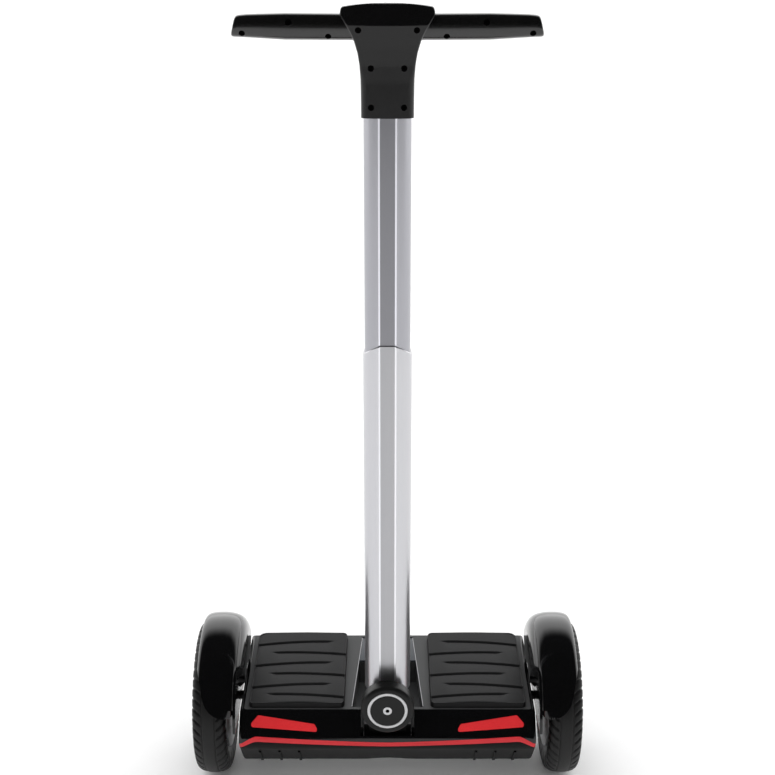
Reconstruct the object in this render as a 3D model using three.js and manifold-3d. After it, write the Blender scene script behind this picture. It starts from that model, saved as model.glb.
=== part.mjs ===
// Self balancing two-wheeled scooter with a telescopic steering pole and a T handlebar.
// Millimetres, +Z up, -Y is the direction of travel, +X is the rider's left.
// The design frame has the wheel axle at Y = 0; the exported group is moved along Y so that
// its origin is the middle of the footprint, on the ground.
import * as THREE from "three";
import { mergeVertices } from "three/addons/utils/BufferGeometryUtils.js";
import Module from "manifold-3d";

const wasm = await Module();
wasm.setup();

// ---------------------------------------------------------------- driving dimensions
const GAP = 0.3; // between parts that touch
const RUN = 0.5; // between parts that move past each other

const TYRE_R = 127; // 10 inch tyre
const TYRE_HALF = 27;
const WHEEL_X = 290.5; // middle of the tyre
const AXLE_Z = TYRE_R;
const AXLE_R = 7.5;
const HUB_R = 84; // metal hub face
const BEARING_R = 17.5;

const BODY_HALF = 241; // half width of the shells
const WALL = 3;
const DECK_Z = 166;
const BELLY_Z = 50;
const CHASSIS_TOP = 102;
const END_ROUND = 5.5; // rounding of the shells' left and right ends
const DECK_FRONT = -96;
const DECK_REAR = 123;
const DECK_HALF = 234;
const DECK_THICK = 6;
const TAIL = 147; // rearmost point of the shells
const ARCH_HALF = 75; // raised middle of the belly
const ARCH_RISE = 12;

const MAT_IN = 71; // foot mats, from the middle outwards
const MAT_OUT = 226;
const MAT_FRONT = -92;
const MAT_REAR = 118;
const MAT_BASE = 164;
const MAT_TOP = 178;
const MAT_ROUND = 4;

const SLOT_FRONT_HALF = 59; // tapered well between the mats
const SLOT_REAR_HALF = 45;
const SLOT_FRONT = -90;
const SLOT_REAR = 118;
const WELL_REAR = 46;
const WELL_FLOOR = 118;

const FENDER_R = 140;
const FENDER_WALL = 2.6;
const FENDER_END_DEG = 15; // above the horizontal, front and rear

const PIVOT_Y = -80; // steering axis under the pole
const PIVOT_Z = 191;
const LEAN_DEG = 2.5; // pole leans towards the rider
const STEER_DEG = 12;
const BOSS_R = 42.5;
const CAP_RING_IN = 27.5;
const CAP_RING_OUT = 32;

const TUBE_HALF_X = 36.4;
const TUBE_HALF_Y = 27;
const TUBE_WALL = 2.1;
const TUBE_FIT = 0.4;
const GROOVE_HALF = 10.5;
const GROOVE_DEEP = 1.8;
const TUBE_FOOT = 14; // heights along the pole, from the steering axis
const RIM_TOP = 600;
const RIM_ARCH_R = 45;
const INNER_FOOT = 500;
const STEM_FOOT = 932;
const HEAD_TOP = 1086;
const GRIP_Z = 1053;
const GRIP_END = 215;
const BAR_R = 9;

// ---------------------------------------------------------------- materials
const material = (color, roughness, metalness) =>
  new THREE.MeshStandardMaterial({ color, roughness, metalness });
const paint = {
  glossBlack: material(0x0c0c0e, 0.15, 0),
  satinBlack: material(0x17181a, 0.45, 0),
  deckGrey: material(0x3a3b3d, 0.6, 0),
  rubber: material(0x1b1c1d, 0.8, 0),
  tyre: material(0x161616, 0.85, 0),
  red: material(0xd8222a, 0.25, 0),
  silver: material(0xc8c9cf, 0.35, 0.9),
  castMetal: material(0x9a9b9e, 0.5, 0.8),
  steel: material(0x8b8d90, 0.35, 1),
  board: material(0x14502e, 0.6, 0),
  copper: material(0xb06a34, 0.4, 0.8),
  battery: material(0x2458a8, 0.5, 0),
  glass: material(0x101418, 0.08, 0),
};

// ---------------------------------------------------------------- solids
const X = new THREE.Vector3(1, 0, 0);
const Y = new THREE.Vector3(0, 1, 0);
const Z = new THREE.Vector3(0, 0, 1);
const degrees = THREE.MathUtils.degToRad;

// A closed geometry as a manifold-3d solid, turned inside in if its faces point inwards.
function solid(geometry) {
  const plain = geometry.index ? geometry.toNonIndexed() : geometry;
  const bare = new THREE.BufferGeometry();
  bare.setAttribute("position", plain.getAttribute("position").clone());
  const merged = mergeVertices(bare, 1e-4);
  const vertProperties = merged.attributes.position.array;
  const triVerts = new Uint32Array(merged.index.array);
  const made = new wasm.Manifold(new wasm.Mesh({ numProp: 3, vertProperties, triVerts }));
  if (made.volume() > 0) return made;
  for (let i = 0; i < triVerts.length; i += 3) {
    [triVerts[i + 1], triVerts[i + 2]] = [triVerts[i + 2], triVerts[i + 1]];
  }
  return new wasm.Manifold(new wasm.Mesh({ numProp: 3, vertProperties, triVerts }));
}

// A manifold-3d solid as a named mesh.
function part(name, body, look) {
  const mesh = body.getMesh();
  const position = new Float32Array(mesh.numVert * 3);
  for (let i = 0; i < mesh.numVert; i++) {
    position.set(mesh.vertProperties.subarray(i * mesh.numProp, i * mesh.numProp + 3), i * 3);
  }
  const geometry = new THREE.BufferGeometry();
  geometry.setAttribute("position", new THREE.BufferAttribute(position, 3));
  geometry.setIndex(new THREE.BufferAttribute(mesh.triVerts, 1));
  geometry.computeVertexNormals();
  const made = new THREE.Mesh(geometry, look);
  made.name = name;
  return made;
}

const join = (...bodies) => bodies.reduce((a, b) => a.add(b));
const cut = (body, ...tools) => tools.reduce((a, b) => a.subtract(b), body);

// A shape's outline extruded between two places along one axis.
// prismX takes [y, z] points, prismY takes [x, z] and prismZ takes [x, y].
function prism(points, low, high, first, second, along, bevel = 0) {
  const shape = new THREE.Shape(points.map(([a, b]) => new THREE.Vector2(a, b)));
  const geometry = new THREE.ExtrudeGeometry(shape, {
    depth: high - low - 2 * bevel,
    bevelEnabled: bevel > 0,
    bevelThickness: bevel,
    bevelSize: bevel,
    bevelOffset: -bevel,
    bevelSegments: 2,
    curveSegments: 1,
  });
  geometry.translate(0, 0, low + bevel);
  return solid(geometry.applyMatrix4(new THREE.Matrix4().makeBasis(first, second, along)));
}
const prismX = (points, low, high, bevel) => prism(points, low, high, Y, Z, X, bevel);
const prismY = (points, low, high, bevel) => prism(points, low, high, X, Z, Y, bevel);
const prismZ = (points, low, high, bevel) => prism(points, low, high, X, Y, Z, bevel);

function box(x0, x1, y0, y1, z0, z1) {
  const geometry = new THREE.BoxGeometry(x1 - x0, y1 - y0, z1 - z0);
  return solid(geometry.translate((x0 + x1) / 2, (y0 + y1) / 2, (z0 + z1) / 2));
}

// A profile of [radius, place] points turned about an axis through the origin.
function turned(profile, axis, segments = 28) {
  const points = [...profile, profile[0]].map(([r, a]) => new THREE.Vector2(r, a));
  const geometry = new THREE.LatheGeometry(points, segments);
  const toAxis = new THREE.Quaternion().setFromUnitVectors(Y, axis);
  return solid(geometry.applyQuaternion(toAxis));
}

function rod(radius, low, high, axis, segments = 20) {
  return turned([[0, low], [radius, low], [radius, high], [0, high]], axis, segments);
}

function ring(inner, outer, low, high, axis, segments = 24) {
  return turned([[inner, low], [outer, low], [outer, high], [inner, high]], axis, segments);
}

// A closed skin over rings of points, with each end closed by a fan.
function loft(rings) {
  const count = rings[0].length;
  const at = rings.flat();
  const faces = [];
  for (let r = 0; r + 1 < rings.length; r++) {
    for (let i = 0; i < count; i++) {
      const a = r * count + i;
      const b = r * count + ((i + 1) % count);
      faces.push(a, b, b + count, a, b + count, a + count);
    }
  }
  const closeEnd = (start, flip) => {
    const middle = at.length;
    const sum = new THREE.Vector3();
    for (let i = 0; i < count; i++) sum.add(at[start + i]);
    at.push(sum.divideScalar(count));
    for (let i = 0; i < count; i++) {
      const a = start + i;
      const b = start + ((i + 1) % count);
      faces.push(...(flip ? [b, a, middle] : [a, b, middle]));
    }
  };
  closeEnd(0, true);
  closeEnd((rings.length - 1) * count, false);
  const geometry = new THREE.BufferGeometry();
  geometry.setAttribute("position", new THREE.Float32BufferAttribute(at.flatMap((p) => [p.x, p.y, p.z]), 3));
  geometry.setIndex(faces);
  return solid(geometry);
}

// ---------------------------------------------------------------- outlines
// Corner points [a, b, radius] as an outline with each corner rounded by an arc.
function rounded(corners, steps = 3) {
  const outline = [];
  corners.forEach(([a, b, radius = 0], i) => {
    const here = new THREE.Vector2(a, b);
    const last = corners.at(i - 1);
    const next = corners[(i + 1) % corners.length];
    const back = new THREE.Vector2(last[0], last[1]).sub(here).normalize();
    const on = new THREE.Vector2(next[0], next[1]).sub(here).normalize();
    if (!radius) {
      outline.push([a, b]);
      return;
    }
    const half = Math.acos(THREE.MathUtils.clamp(back.dot(on), -1, 1)) / 2;
    const centre = back.clone().add(on).normalize().multiplyScalar(radius / Math.sin(half)).add(here);
    const start = back.multiplyScalar(radius / Math.tan(half)).add(here).sub(centre).angle();
    const end = on.multiplyScalar(radius / Math.tan(half)).add(here).sub(centre).angle();
    let sweep = end - start;
    if (sweep > Math.PI) sweep -= 2 * Math.PI;
    if (sweep < -Math.PI) sweep += 2 * Math.PI;
    for (let s = 0; s <= steps; s++) {
      const angle = start + (sweep * s) / steps;
      outline.push([centre.x + radius * Math.cos(angle), centre.y + radius * Math.sin(angle)]);
    }
  });
  return outline;
}

// An outline moved inwards by a distance, or outwards if it is negative.
function inset(points, distance) {
  const area = points.reduce((sum, [a, b], i) => {
    const [c, d] = points[(i + 1) % points.length];
    return sum + a * d - b * c;
  }, 0);
  const side = Math.sign(area) * distance;
  return points.map((p, i) => {
    const q = points.at(i - 1);
    const r = points[(i + 1) % points.length];
    const u = new THREE.Vector2(p[0] - q[0], p[1] - q[1]).normalize();
    const v = new THREE.Vector2(r[0] - p[0], r[1] - p[1]).normalize();
    const spread = 1 + u.dot(v);
    return [p[0] + (side * (-u.y - v.y)) / spread, p[1] + (side * (u.x + v.x)) / spread];
  });
}

const mirrored = (points) => points.map(([a, b]) => [-a, b]).reverse();
const bothSides = (body) => body.add(body.mirror([1, 0, 0]));

// ---------------------------------------------------------------- body shells
const hullOutline = rounded([
  [DECK_FRONT - 1, DECK_Z, 6],
  [-138, 126, 26],
  [-76, BELLY_Z, 22],
  [88, BELLY_Z, 22],
  [TAIL, 124, 24],
  [DECK_REAR + 3, DECK_Z, 6],
]);
const hull = (shrink) =>
  prismX(inset(hullOutline, shrink), shrink - BODY_HALF, BODY_HALF - shrink, END_ROUND - shrink);

// Height of the parting line between the shells: nearly level, then down at each end.
const STRIPE_END = 213;
const partingZ = (x) => {
  const away = Math.abs(x);
  const rise = 10 * (Math.min(away, STRIPE_END) / STRIPE_END) ** 1.4;
  const fall = Math.max(0, away - STRIPE_END) / (BODY_HALF - STRIPE_END);
  return 120.5 + rise - 15 * fall ** 1.3;
};
const STRIPE_HALF = 4.2;
const STRIPE_DEEP = 2;
const partingCurve = (lift) =>
  [-250, -230, -STRIPE_END, -130, 0, 130, STRIPE_END, 230, 250].map((x) => [
    x,
    partingZ(x) + lift,
  ]);
const below = (lift) => prismY([...partingCurve(lift), [250, 0], [-250, 0]], -200, 200);
const stripeBand = (grow, y0, y1) =>
  prismY([...partingCurve(STRIPE_HALF + grow), ...partingCurve(-STRIPE_HALF - grow).reverse()], y0, y1);

const bellyArch = (lift) => {
  const points = [];
  for (let i = -4; i <= 4; i++) {
    const x = (ARCH_HALF * i) / 4;
    points.push([x, BELLY_Z + lift + (ARCH_RISE * (1 + Math.cos((Math.PI * i) / 4))) / 2]);
  }
  return prismY([...points, [ARCH_HALF, BELLY_Z - 20], [-ARCH_HALF, BELLY_Z - 20]], -160, 160);
};

// Lamp openings, as [x, z] corners seen along Y, for the rider's left.
const lampOutline = (grow) =>
  inset([[226, 146.5], [210.5, 159.5], [118.5, 149.5], [111.5, 140.5]], -grow);
const lampPrism = (grow, side, end) => {
  const outline = side > 0 ? lampOutline(grow) : mirrored(lampOutline(grow));
  return prismY(outline, Math.min(0, 170 * end), Math.max(0, 170 * end));
};
const LAMP_DEEP = 2.4;

const slotHalf = (y) =>
  THREE.MathUtils.mapLinear(y, SLOT_FRONT, SLOT_REAR, SLOT_FRONT_HALF, SLOT_REAR_HALF);
const slotOutline = (grow, y0, y1) => [
  [-slotHalf(y0) - grow, y0],
  [slotHalf(y0) + grow, y0],
  [slotHalf(y1) + grow, y1],
  [-slotHalf(y1) - grow, y1],
];

const RIB_AT = [145, 177, 209];
const skidRibs = () => {
  const outline = inset(hullOutline, -2.4);
  const low = box(-BODY_HALF, BODY_HALF, -160, -52, 20, 96).add(box(-BODY_HALF, BODY_HALF, 62, 160, 20, 96));
  const ribs = RIB_AT.map((x) => prismX(outline, x - 1.7, x + 1.7));
  return bothSides(join(...ribs)).intersect(low);
};

const axleHoles = () => rod(AXLE_R + 2, -260, 260, X).translate([0, 0, AXLE_Z]);

function lowerShell() {
  const cavity = cut(hull(WALL), bellyArch(WALL));
  const outside = cut(hull(0).add(skidRibs()), bellyArch(0));
  return cut(outside.intersect(below(-STRIPE_HALF - GAP)), cavity, axleHoles());
}

const CHARGE_TILT = Math.atan2(DECK_Z - 124, TAIL - DECK_REAR - 3); // slope of the rear fascia
const chargeFrame = new THREE.Group();
chargeFrame.position.set(0, (DECK_REAR + 3 + TAIL) / 2, (DECK_Z + 124) / 2);
chargeFrame.rotation.x = -CHARGE_TILT;
chargeFrame.updateMatrix();
const inChargeFrame = (body) => body.transform(chargeFrame.matrix.elements);

const pivotNotch = () => box(-43.5, 43.5, -126, -60, 128, 200);
const WELL_WALL = 2.5;
function upperShell() {
  const ledgeTop = DECK_Z - DECK_THICK - GAP;
  const ledge = cut(
    hull(0).intersect(box(-DECK_HALF, DECK_HALF, -150, 150, ledgeTop - 4, ledgeTop)),
    box(-226, 226, DECK_FRONT + 2.5, DECK_REAR - 8, 100, 180),
  );
  const deckOpening = box(
    -DECK_HALF - GAP, DECK_HALF + GAP, DECK_FRONT - GAP, DECK_REAR + GAP, ledgeTop, 200,
  );
  let shell = cut(hull(0), hull(WALL)).add(ledge);
  shell = cut(shell, below(-STRIPE_HALF), deckOpening, axleHoles());
  for (const end of [-1, 1]) {
    const skin = (deep) => cut(hull(-1), hull(deep));
    shell = cut(shell, stripeBand(GAP, Math.min(0, 170 * end), Math.max(0, 170 * end)).intersect(skin(STRIPE_DEEP + GAP)));
    for (const side of [-1, 1]) {
      shell = cut(shell, lampPrism(GAP, side, end).intersect(skin(LAMP_DEEP + GAP)));
    }
  }
  return cut(shell, pivotNotch(), inChargeFrame(rod(10.4, -20, 20, Z)));
}

function deckPlate() {
  const plate = prismZ(
    rounded([
      [-DECK_HALF, DECK_FRONT, 4],
      [DECK_HALF, DECK_FRONT, 4],
      [DECK_HALF, DECK_REAR, 4],
      [-DECK_HALF, DECK_REAR, 4],
    ], 2),
    DECK_Z - DECK_THICK, DECK_Z,
  );
  const skirt = prismZ(
    slotOutline(WELL_WALL, SLOT_FRONT - WELL_WALL, WELL_REAR + WELL_WALL), WELL_FLOOR, DECK_Z - 1,
  );
  const pocket = prismZ(matOutline(0.6), MAT_BASE - 2, DECK_Z + 5);
  const plungers = join(...SENSOR_AT.map((x) => rod(5, 140, 200, Z, 12).translate([x, SENSOR_Y, 0])));
  return cut(
    plate.add(skirt),
    prismZ(slotOutline(0, SLOT_FRONT, WELL_REAR), WELL_FLOOR + WELL_WALL, 200),
    prismZ(slotOutline(0, SLOT_FRONT, SLOT_REAR), DECK_Z - DECK_THICK + 1.5, 200),
    box(-40, 40, -130, -28, WELL_FLOOR - 5, 200),
    pivotNotch(),
    bothSides(pocket.add(plungers)),
  );
}

const matOutline = (grow) =>
  inset(rounded([
    [MAT_IN, MAT_FRONT, 8],
    [MAT_OUT, MAT_FRONT, 8],
    [MAT_OUT, MAT_REAR, 12],
    [MAT_IN, MAT_REAR, 8],
  ]), -grow);
const SENSOR_AT = [125, 175];
const SENSOR_Y = 10;

function tunnelCover() {
  const top = DECK_Z - 1.2;
  return prismZ(slotOutline(-GAP, WELL_REAR + 0.5, SLOT_REAR - GAP), DECK_Z - DECK_THICK + 1.8, top);
}

const stripe = (end) => {
  const [y0, y1] = end < 0 ? [-170, -40] : [40, 170];
  return cut(hull(0), hull(STRIPE_DEEP)).intersect(stripeBand(0, y0, y1));
};
const lamp = (side, end) => cut(hull(0), hull(LAMP_DEEP)).intersect(lampPrism(0, side, end));

// ---------------------------------------------------------------- fender
// Section of the arch as [x, radius] from its outer lip, over the crown, to its inner edge.
const fenderSkin = [
  [309.5, 130], [308, 135.5], [303, 139], [296, FENDER_R], [266, FENDER_R],
  [256, 138.5], [250.5, 134], [249.5, 124],
];

function fender() {
  const closed = [...fenderSkin, ...inset([...fenderSkin, [280, 100]], FENDER_WALL).slice(0, -1).reverse()];
  const arch = turned(closed.map(([x, r]) => [r, x]), X, 40).translate([0, 0, AXLE_Z]);
  const reach = 300;
  const end = degrees(FENDER_END_DEG);
  const wedge = prismX([
    [0, AXLE_Z - 20],
    [reach * Math.cos(end), AXLE_Z + reach * Math.sin(end)],
    [reach, AXLE_Z + reach],
    [-reach, AXLE_Z + reach],
    [-reach * Math.cos(end), AXLE_Z + reach * Math.sin(end)],
  ], 200, 340);
  // Outside of the tongue at each end, seen along Y.
  const tongue = prismY([
    [330, 236], [311, 236], [302, 216], [297, 197], [289, 184], [278, 175.5], [264, 171], [240, 170],
    [240, 140], [330, 140],
  ], -160, 160);
  const flank = turned([[0, 244.8], [137.5, 244.8], [137.5, 249.8], [0, 249.8]], X, 40)
    .translate([0, 0, AXLE_Z])
    .intersect(box(200, 340, -200, 200, 141, 300));
  const fairing = prismY([[236, DECK_Z + GAP], [246, DECK_Z + GAP], [246, 236], [244, 228]], -92, 112)
    .intersect(rod(130, 200, 340, X, 40).translate([0, 0, AXLE_Z]));
  return join(cut(arch.intersect(wedge), tongue), flank, fairing);
}

// ---------------------------------------------------------------- wheel, about the X axis, outwards is +X
const tyreProfile = () => {
  const half = [
    [82.5, 19], [88, 19.5], [93, 24], [104, TYRE_HALF], [117, 26], [123.5, 19.5], [126.4, 9],
  ];
  const other = half.map(([r, x]) => [r, -x]).reverse();
  return [...half, [TYRE_R, 0], ...other];
};
const hubShellProfile = [
  [BEARING_R + GAP, 12], [BEARING_R + GAP, 18], [0, 18], [0, 23.5], [22, 21.5], [60, 20.5], [74, 23.5],
  [82, 23.5], [82, -23], [76, -23], [76, 16], [26, 16], [26, 12],
];
const hubCoverProfile = [
  [BEARING_R + GAP, -28], [70, -28], [HUB_R, -26], [HUB_R, -23.4], [75.6, -23.4], [75.6, -19.5],
  [BEARING_R + GAP, -19.5],
];

// One tooth of the stator as [radius, angle] points.
const STATOR_TOOTH = [[36, -0.2], [60, -0.2], [66.5, -0.28], [66.5, 0.28], [60, 0.2], [36, 0.2]];
function stator() {
  const teeth = 9;
  const outline = [];
  for (let i = 0; i < teeth; i++) {
    const angle = (2 * Math.PI * i) / teeth;
    for (const [r, off] of STATOR_TOOTH) {
      outline.push([r * Math.cos(angle + off), r * Math.sin(angle + off)]);
    }
  }
  return cut(prismX(outline, -14, 10), rod(10.3, -30, 30, X));
}

const axle = () =>
  turned([
    [0, -104], [AXLE_R, -104], [AXLE_R, -18.8], [10, -18.8], [10, 11.2], [AXLE_R, 11.2], [AXLE_R, 17.5], [0, 17.5],
  ], X, 16);

// ---------------------------------------------------------------- chassis
function chassisFrame() {
  const beam = box(-236, 236, -45, 45, CHASSIS_TOP - 10, CHASSIS_TOP);
  const tongue = box(-40, 40, -103, -44, CHASSIS_TOP - 10, CHASSIS_TOP);
  const saddle = box(184, 236, -26, 26, CHASSIS_TOP - 1, AXLE_Z - GAP);
  const foot = box(144, 158, 28, 42, BELLY_Z + WALL + GAP, 93);
  const feet = foot.add(foot.mirror([0, 1, 0]));
  return cut(join(beam, tongue, bothSides(saddle.add(feet))), rod(AXLE_R + GAP, -250, 250, X).translate([0, 0, AXLE_Z]));
}

const axleClamp = () =>
  cut(box(184, 236, -26, 26, AXLE_Z + GAP, 145), rod(AXLE_R + GAP, 150, 250, X).translate([0, 0, AXLE_Z]));

const batteryPack = () =>
  prismX(rounded([[50, 72, 5], [94, 72, 5], [94, 115, 5], [50, 115, 5]], 2), -165, 165);

function controllerBoard() {
  const plate = box(64, 200, -102, -50, 104, 106);
  const sink = box(80, 184, -92, -60, 105, 116);
  const fins = join(...[92, 112, 132, 152, 172].map((x) => box(x, x + 8, -94, -58, 109, 120)));
  return cut(plate.add(sink), fins);
}

const footSensor = () =>
  join(
    box(108, 192, SENSOR_Y - 22, SENSOR_Y + 22, 150, 153),
    ...SENSOR_AT.map((x) => rod(4.4, 152, MAT_BASE - 1.8, Z, 12).translate([x, SENSOR_Y, 0])),
  );

// ---------------------------------------------------------------- steering, in the pole's own frame
// Its origin is on the steering axis, Y runs along that axis to the rear and Z up the pole.
// Height, along the pole, of the housing's level underside on the chassis.
const underside = (y) =>
  (CHASSIS_TOP + GAP - PIVOT_Z + y * Math.sin(degrees(LEAN_DEG))) / Math.cos(degrees(LEAN_DEG));
function pivotHousing() {
  const frontCheek = rod(BOSS_R - 0.5, -49.5, -36, Y, 32);
  const rearCheek = rod(30, 32, 46, Y, 24);
  const rearWeb = box(-30, 30, 32, 46, -60, 0);
  const frontWeb = prismX([[-41, -30], [-25, -30], [-25, -60], [-32, -60]], -30, 30);
  const base = prismX([[-25, underside(-25)], [46, underside(46)], [46, -47], [-25, -47]], -38, 38);
  const pocket = box(-28, 28, -12, 12, -70, -40);
  const bores = rod(19.3, -60, -38.5, Y).add(rod(19.3, 34.5, 60, Y));
  const shaftBore = rod(13, -60, 60, Y);
  const hubRoom = rod(43, -35.6, 31.2, Y, 32);
  return cut(join(frontCheek, cut(join(rearCheek, rearWeb, frontWeb, base), hubRoom)), pocket, bores, shaftBore);
}

const pivotBearing = (y) => ring(10.4, 19, y, y + 10, Y, 16);

function steerKnuckle() {
  const hub = rod(40, -34, 29.5, Y, 28).intersect(box(-50, 50, -50, 50, -50, TUBE_FOOT - GAP));
  const tab = box(-5, 5, -9, 9, -62, -30);
  const spigot = prismZ(inset(tubeOutline, TUBE_WALL + GAP), 0, 110);
  return join(hub, tab, spigot, rod(10, -49, 45.5, Y));
}

const buffer = () => box(19.2, 27.6, -10, 10, -69.5, -48);

function bossCap() {
  const dome = turned([
    [0, -60], [36, -59.4], [41, -57.6], [BOSS_R, -55], [BOSS_R, -49.8], [0, -49.8],
  ], Y, 32);
  return cut(dome, ring(CAP_RING_IN - GAP, CAP_RING_OUT + GAP, -62, -58.3, Y, 28));
}

const capRing = () => ring(CAP_RING_IN, CAP_RING_OUT, -60.2, -58.6, Y, 28);

// ---------------------------------------------------------------- pole tubes
// An oval with a shallow flat groove down its front and back.
const tubeOutline = (() => {
  const quarter = [];
  const power = 2 / 2.6;
  for (const angle of [0, 14, 28, 42, 56]) {
    const c = Math.cos(degrees(angle));
    const s = Math.sin(degrees(angle));
    quarter.push([TUBE_HALF_X * c ** power, TUBE_HALF_Y * s ** power]);
  }
  const lip = TUBE_HALF_Y * (1 - (GROOVE_HALF / TUBE_HALF_X) ** 2.6) ** (1 / 2.6);
  quarter.push([GROOVE_HALF + 1.4, lip], [GROOVE_HALF, lip - GROOVE_DEEP]);
  const half = [...quarter, ...quarter.slice().reverse().map(([a, b]) => [-a, b])];
  const back = half.slice(1, -1).reverse().map(([a, b]) => [a, -b]);
  return [...half, ...back];
})();
const tubeBetween = (outer, inner, low, high) =>
  cut(prismZ(inset(tubeOutline, outer), low, high), prismZ(inset(tubeOutline, inner), low - 1, high + 1));

// Everything under an arch seen along Y, which trims the outer tube's rim.
const rimTrim = () => {
  const arch = [];
  for (let i = -6; i <= 6; i++) {
    const x = (40 * i) / 6;
    arch.push([x, RIM_TOP - RIM_ARCH_R + Math.sqrt(RIM_ARCH_R ** 2 - x * x)]);
  }
  return prismY([[-40, 0], ...arch, [40, 0]], -50, 50);
};

const outerTube = () =>
  tubeBetween(0, TUBE_WALL, TUBE_FOOT, RIM_TOP + 1).intersect(rimTrim());
const innerTube = () =>
  tubeBetween(TUBE_WALL + TUBE_FIT, 2 * TUBE_WALL + TUBE_FIT, INNER_FOOT, STEM_FOOT + 62);

const LEVER_Y = 37;
const LEVER_Z = 556;
function lockHousing() {
  const plate = box(-19, 19, TUBE_HALF_Y + GAP, TUBE_HALF_Y + 3.5, 520, 572);
  const ear = box(10.4, 17, TUBE_HALF_Y + GAP, LEVER_Y + 7, 540, 572);
  return bothSides(ear).add(plate).add(rod(2.6, -17, 17, X, 12).translate([0, LEVER_Y, LEVER_Z]));
}

function lockLever() {
  const hub = rod(6.2, -9.8, 9.8, X, 20);
  const blade = prismX(rounded([[-2, 0, 0], [6, 0, 0], [9, -78, 3], [4, -84, 2], [0, -78, 3]], 2), -9.8, 9.8);
  return cut(hub.add(blade), rod(3.1, -20, 20, X, 12)).translate([0, LEVER_Y, LEVER_Z]);
}

// ---------------------------------------------------------------- handle head, in the pole's own frame
const headFront = (grow) => {
  const half = [
    [36.8, STEM_FOOT], [37.2, 985], [38.5, 1004], [41, 1020], [45.5, 1036], [51, 1048], [58, 1060], [64.5, 1071],
    [62.5, 1081],
  ];
  const top = [[40, 1084.5], [0, HEAD_TOP]];
  const left = [...half, ...top].map(([x, z]) => [-x, z]).slice(0, -1).reverse();
  return inset([...half, ...top, ...left], grow);
};
const headSide = (grow) =>
  inset([
    [-31, STEM_FOOT], [31, STEM_FOOT], [31, 990], [34, 1012], [40, 1030], [44, 1040], [-18, HEAD_TOP],
    [-26, 1083], [-38, 1067], [-42, 1057], [-40, 1048], [-35, 1028], [-32, 1004],
  ], grow);
const headBlock = (grow) => prismY(headFront(grow), -60, 60).intersect(prismX(headSide(grow), -80, 80));
const HEAD_SPLIT = -4;

const FACE_TILT = Math.atan2(HEAD_TOP - 1040, 62); // slope of the rider's panel
const face = new THREE.Group();
face.position.set(0, 13, (HEAD_TOP + 1040) / 2);
face.rotation.x = -FACE_TILT;
face.updateMatrix();
const onFace = (body) => body.transform(face.matrix.elements);
const BUTTON_AT = [-26, 0, 26];
const BUTTON_Y = 24;
const BUTTON_R = 6.5;

const headHollow = () => {
  const tubeRoom = prismZ(inset(tubeOutline, TUBE_WALL + TUBE_FIT - GAP), STEM_FOOT - 5, STEM_FOOT + 62.5);
  const barRoom = rod(BAR_R + GAP, -90, 90, X).translate([0, 0, GRIP_Z]);
  return join(headBlock(3), tubeRoom, barRoom);
};
const headFrontShell = () => cut(headBlock(0).intersect(box(-90, 90, -60, HEAD_SPLIT, 900, 1100)), headHollow());

function headRearShell() {
  const window = onFace(box(-33.3, 33.3, -16.3, 11.3, -20, 20));
  const holes = BUTTON_AT.map((x) => onFace(rod(BUTTON_R + RUN, -20, 20, Z).translate([x, BUTTON_Y, 0])));
  const shell = cut(headBlock(0), headHollow()).intersect(box(-90, 90, HEAD_SPLIT + GAP, 60, 900, 1100));
  return cut(shell, window, ...holes);
}

const displayPanel = () => onFace(box(-33, 33, -16, 11, -4, -0.6));
const button = (x) => onFace(rod(BUTTON_R, -5, 1.6, Z).translate([x, BUTTON_Y, 0]));

function handlebarCore() {
  const bar = rod(BAR_R, -180, 180, X);
  const post = box(-12, 12, -9, 9, -95, 0);
  const plug = prismZ(inset(tubeOutline, 2 * TUBE_WALL + TUBE_FIT + GAP), -95, -63);
  return join(bar, post, plug).translate([0, 0, GRIP_Z]);
}

// Each ring of a grip is a soft oval; its outer end is cut back towards the top.
function grip() {
  const rings = [
    [44, 18, 18, 0], [66, 18, 18, 0], [140, 18, 17.5, 0.5], [200, 15.5, 15.5, 1.5],
    [GRIP_END - 1.5, 14, 14.4, 1.2],
  ].map(([x, high, deep, up]) => {
    const points = [];
    for (let i = 0; i < 14; i++) {
      const angle = (2 * Math.PI * i) / 14;
      const c = Math.cos(angle);
      const s = Math.sin(angle);
      const y = deep * Math.sign(c) * Math.abs(c) ** 0.8;
      const z = high * Math.sign(s) * Math.abs(s) ** 0.8;
      const slant = x > 190 ? -0.24 * (z + high) : 0;
      points.push(new THREE.Vector3(x + slant, y, GRIP_Z + up + z));
    }
    return points;
  });
  return cut(loft(rings), rod(BAR_R + GAP, 0, 181, X).translate([0, 0, GRIP_Z]), headBlock(-GAP));
}

// ---------------------------------------------------------------- charging port, in the fascia's frame
const chargeSocket = () => inChargeFrame(cut(rod(10, -16, -1, Z), rod(6, -12, 2, Z), rod(1.5, -13, 2, Z)).add(rod(1.4, -14, -4, Z)));
function chargeFlap() {
  const disc = rod(14, 0.6, 3.4, Z, 20);
  const knuckle = rod(1.8, -8, 8, X, 12).translate([0, 15, 2.4]);
  const web = box(-7, 7, 10, 15, 0.8, 3.2);
  return inChargeFrame(join(disc, web, knuckle));
}

// ---------------------------------------------------------------- assembly
const scooter = new THREE.Group();
const addRoot = (name, body, look) => scooter.add(part(name, body, look));

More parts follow.
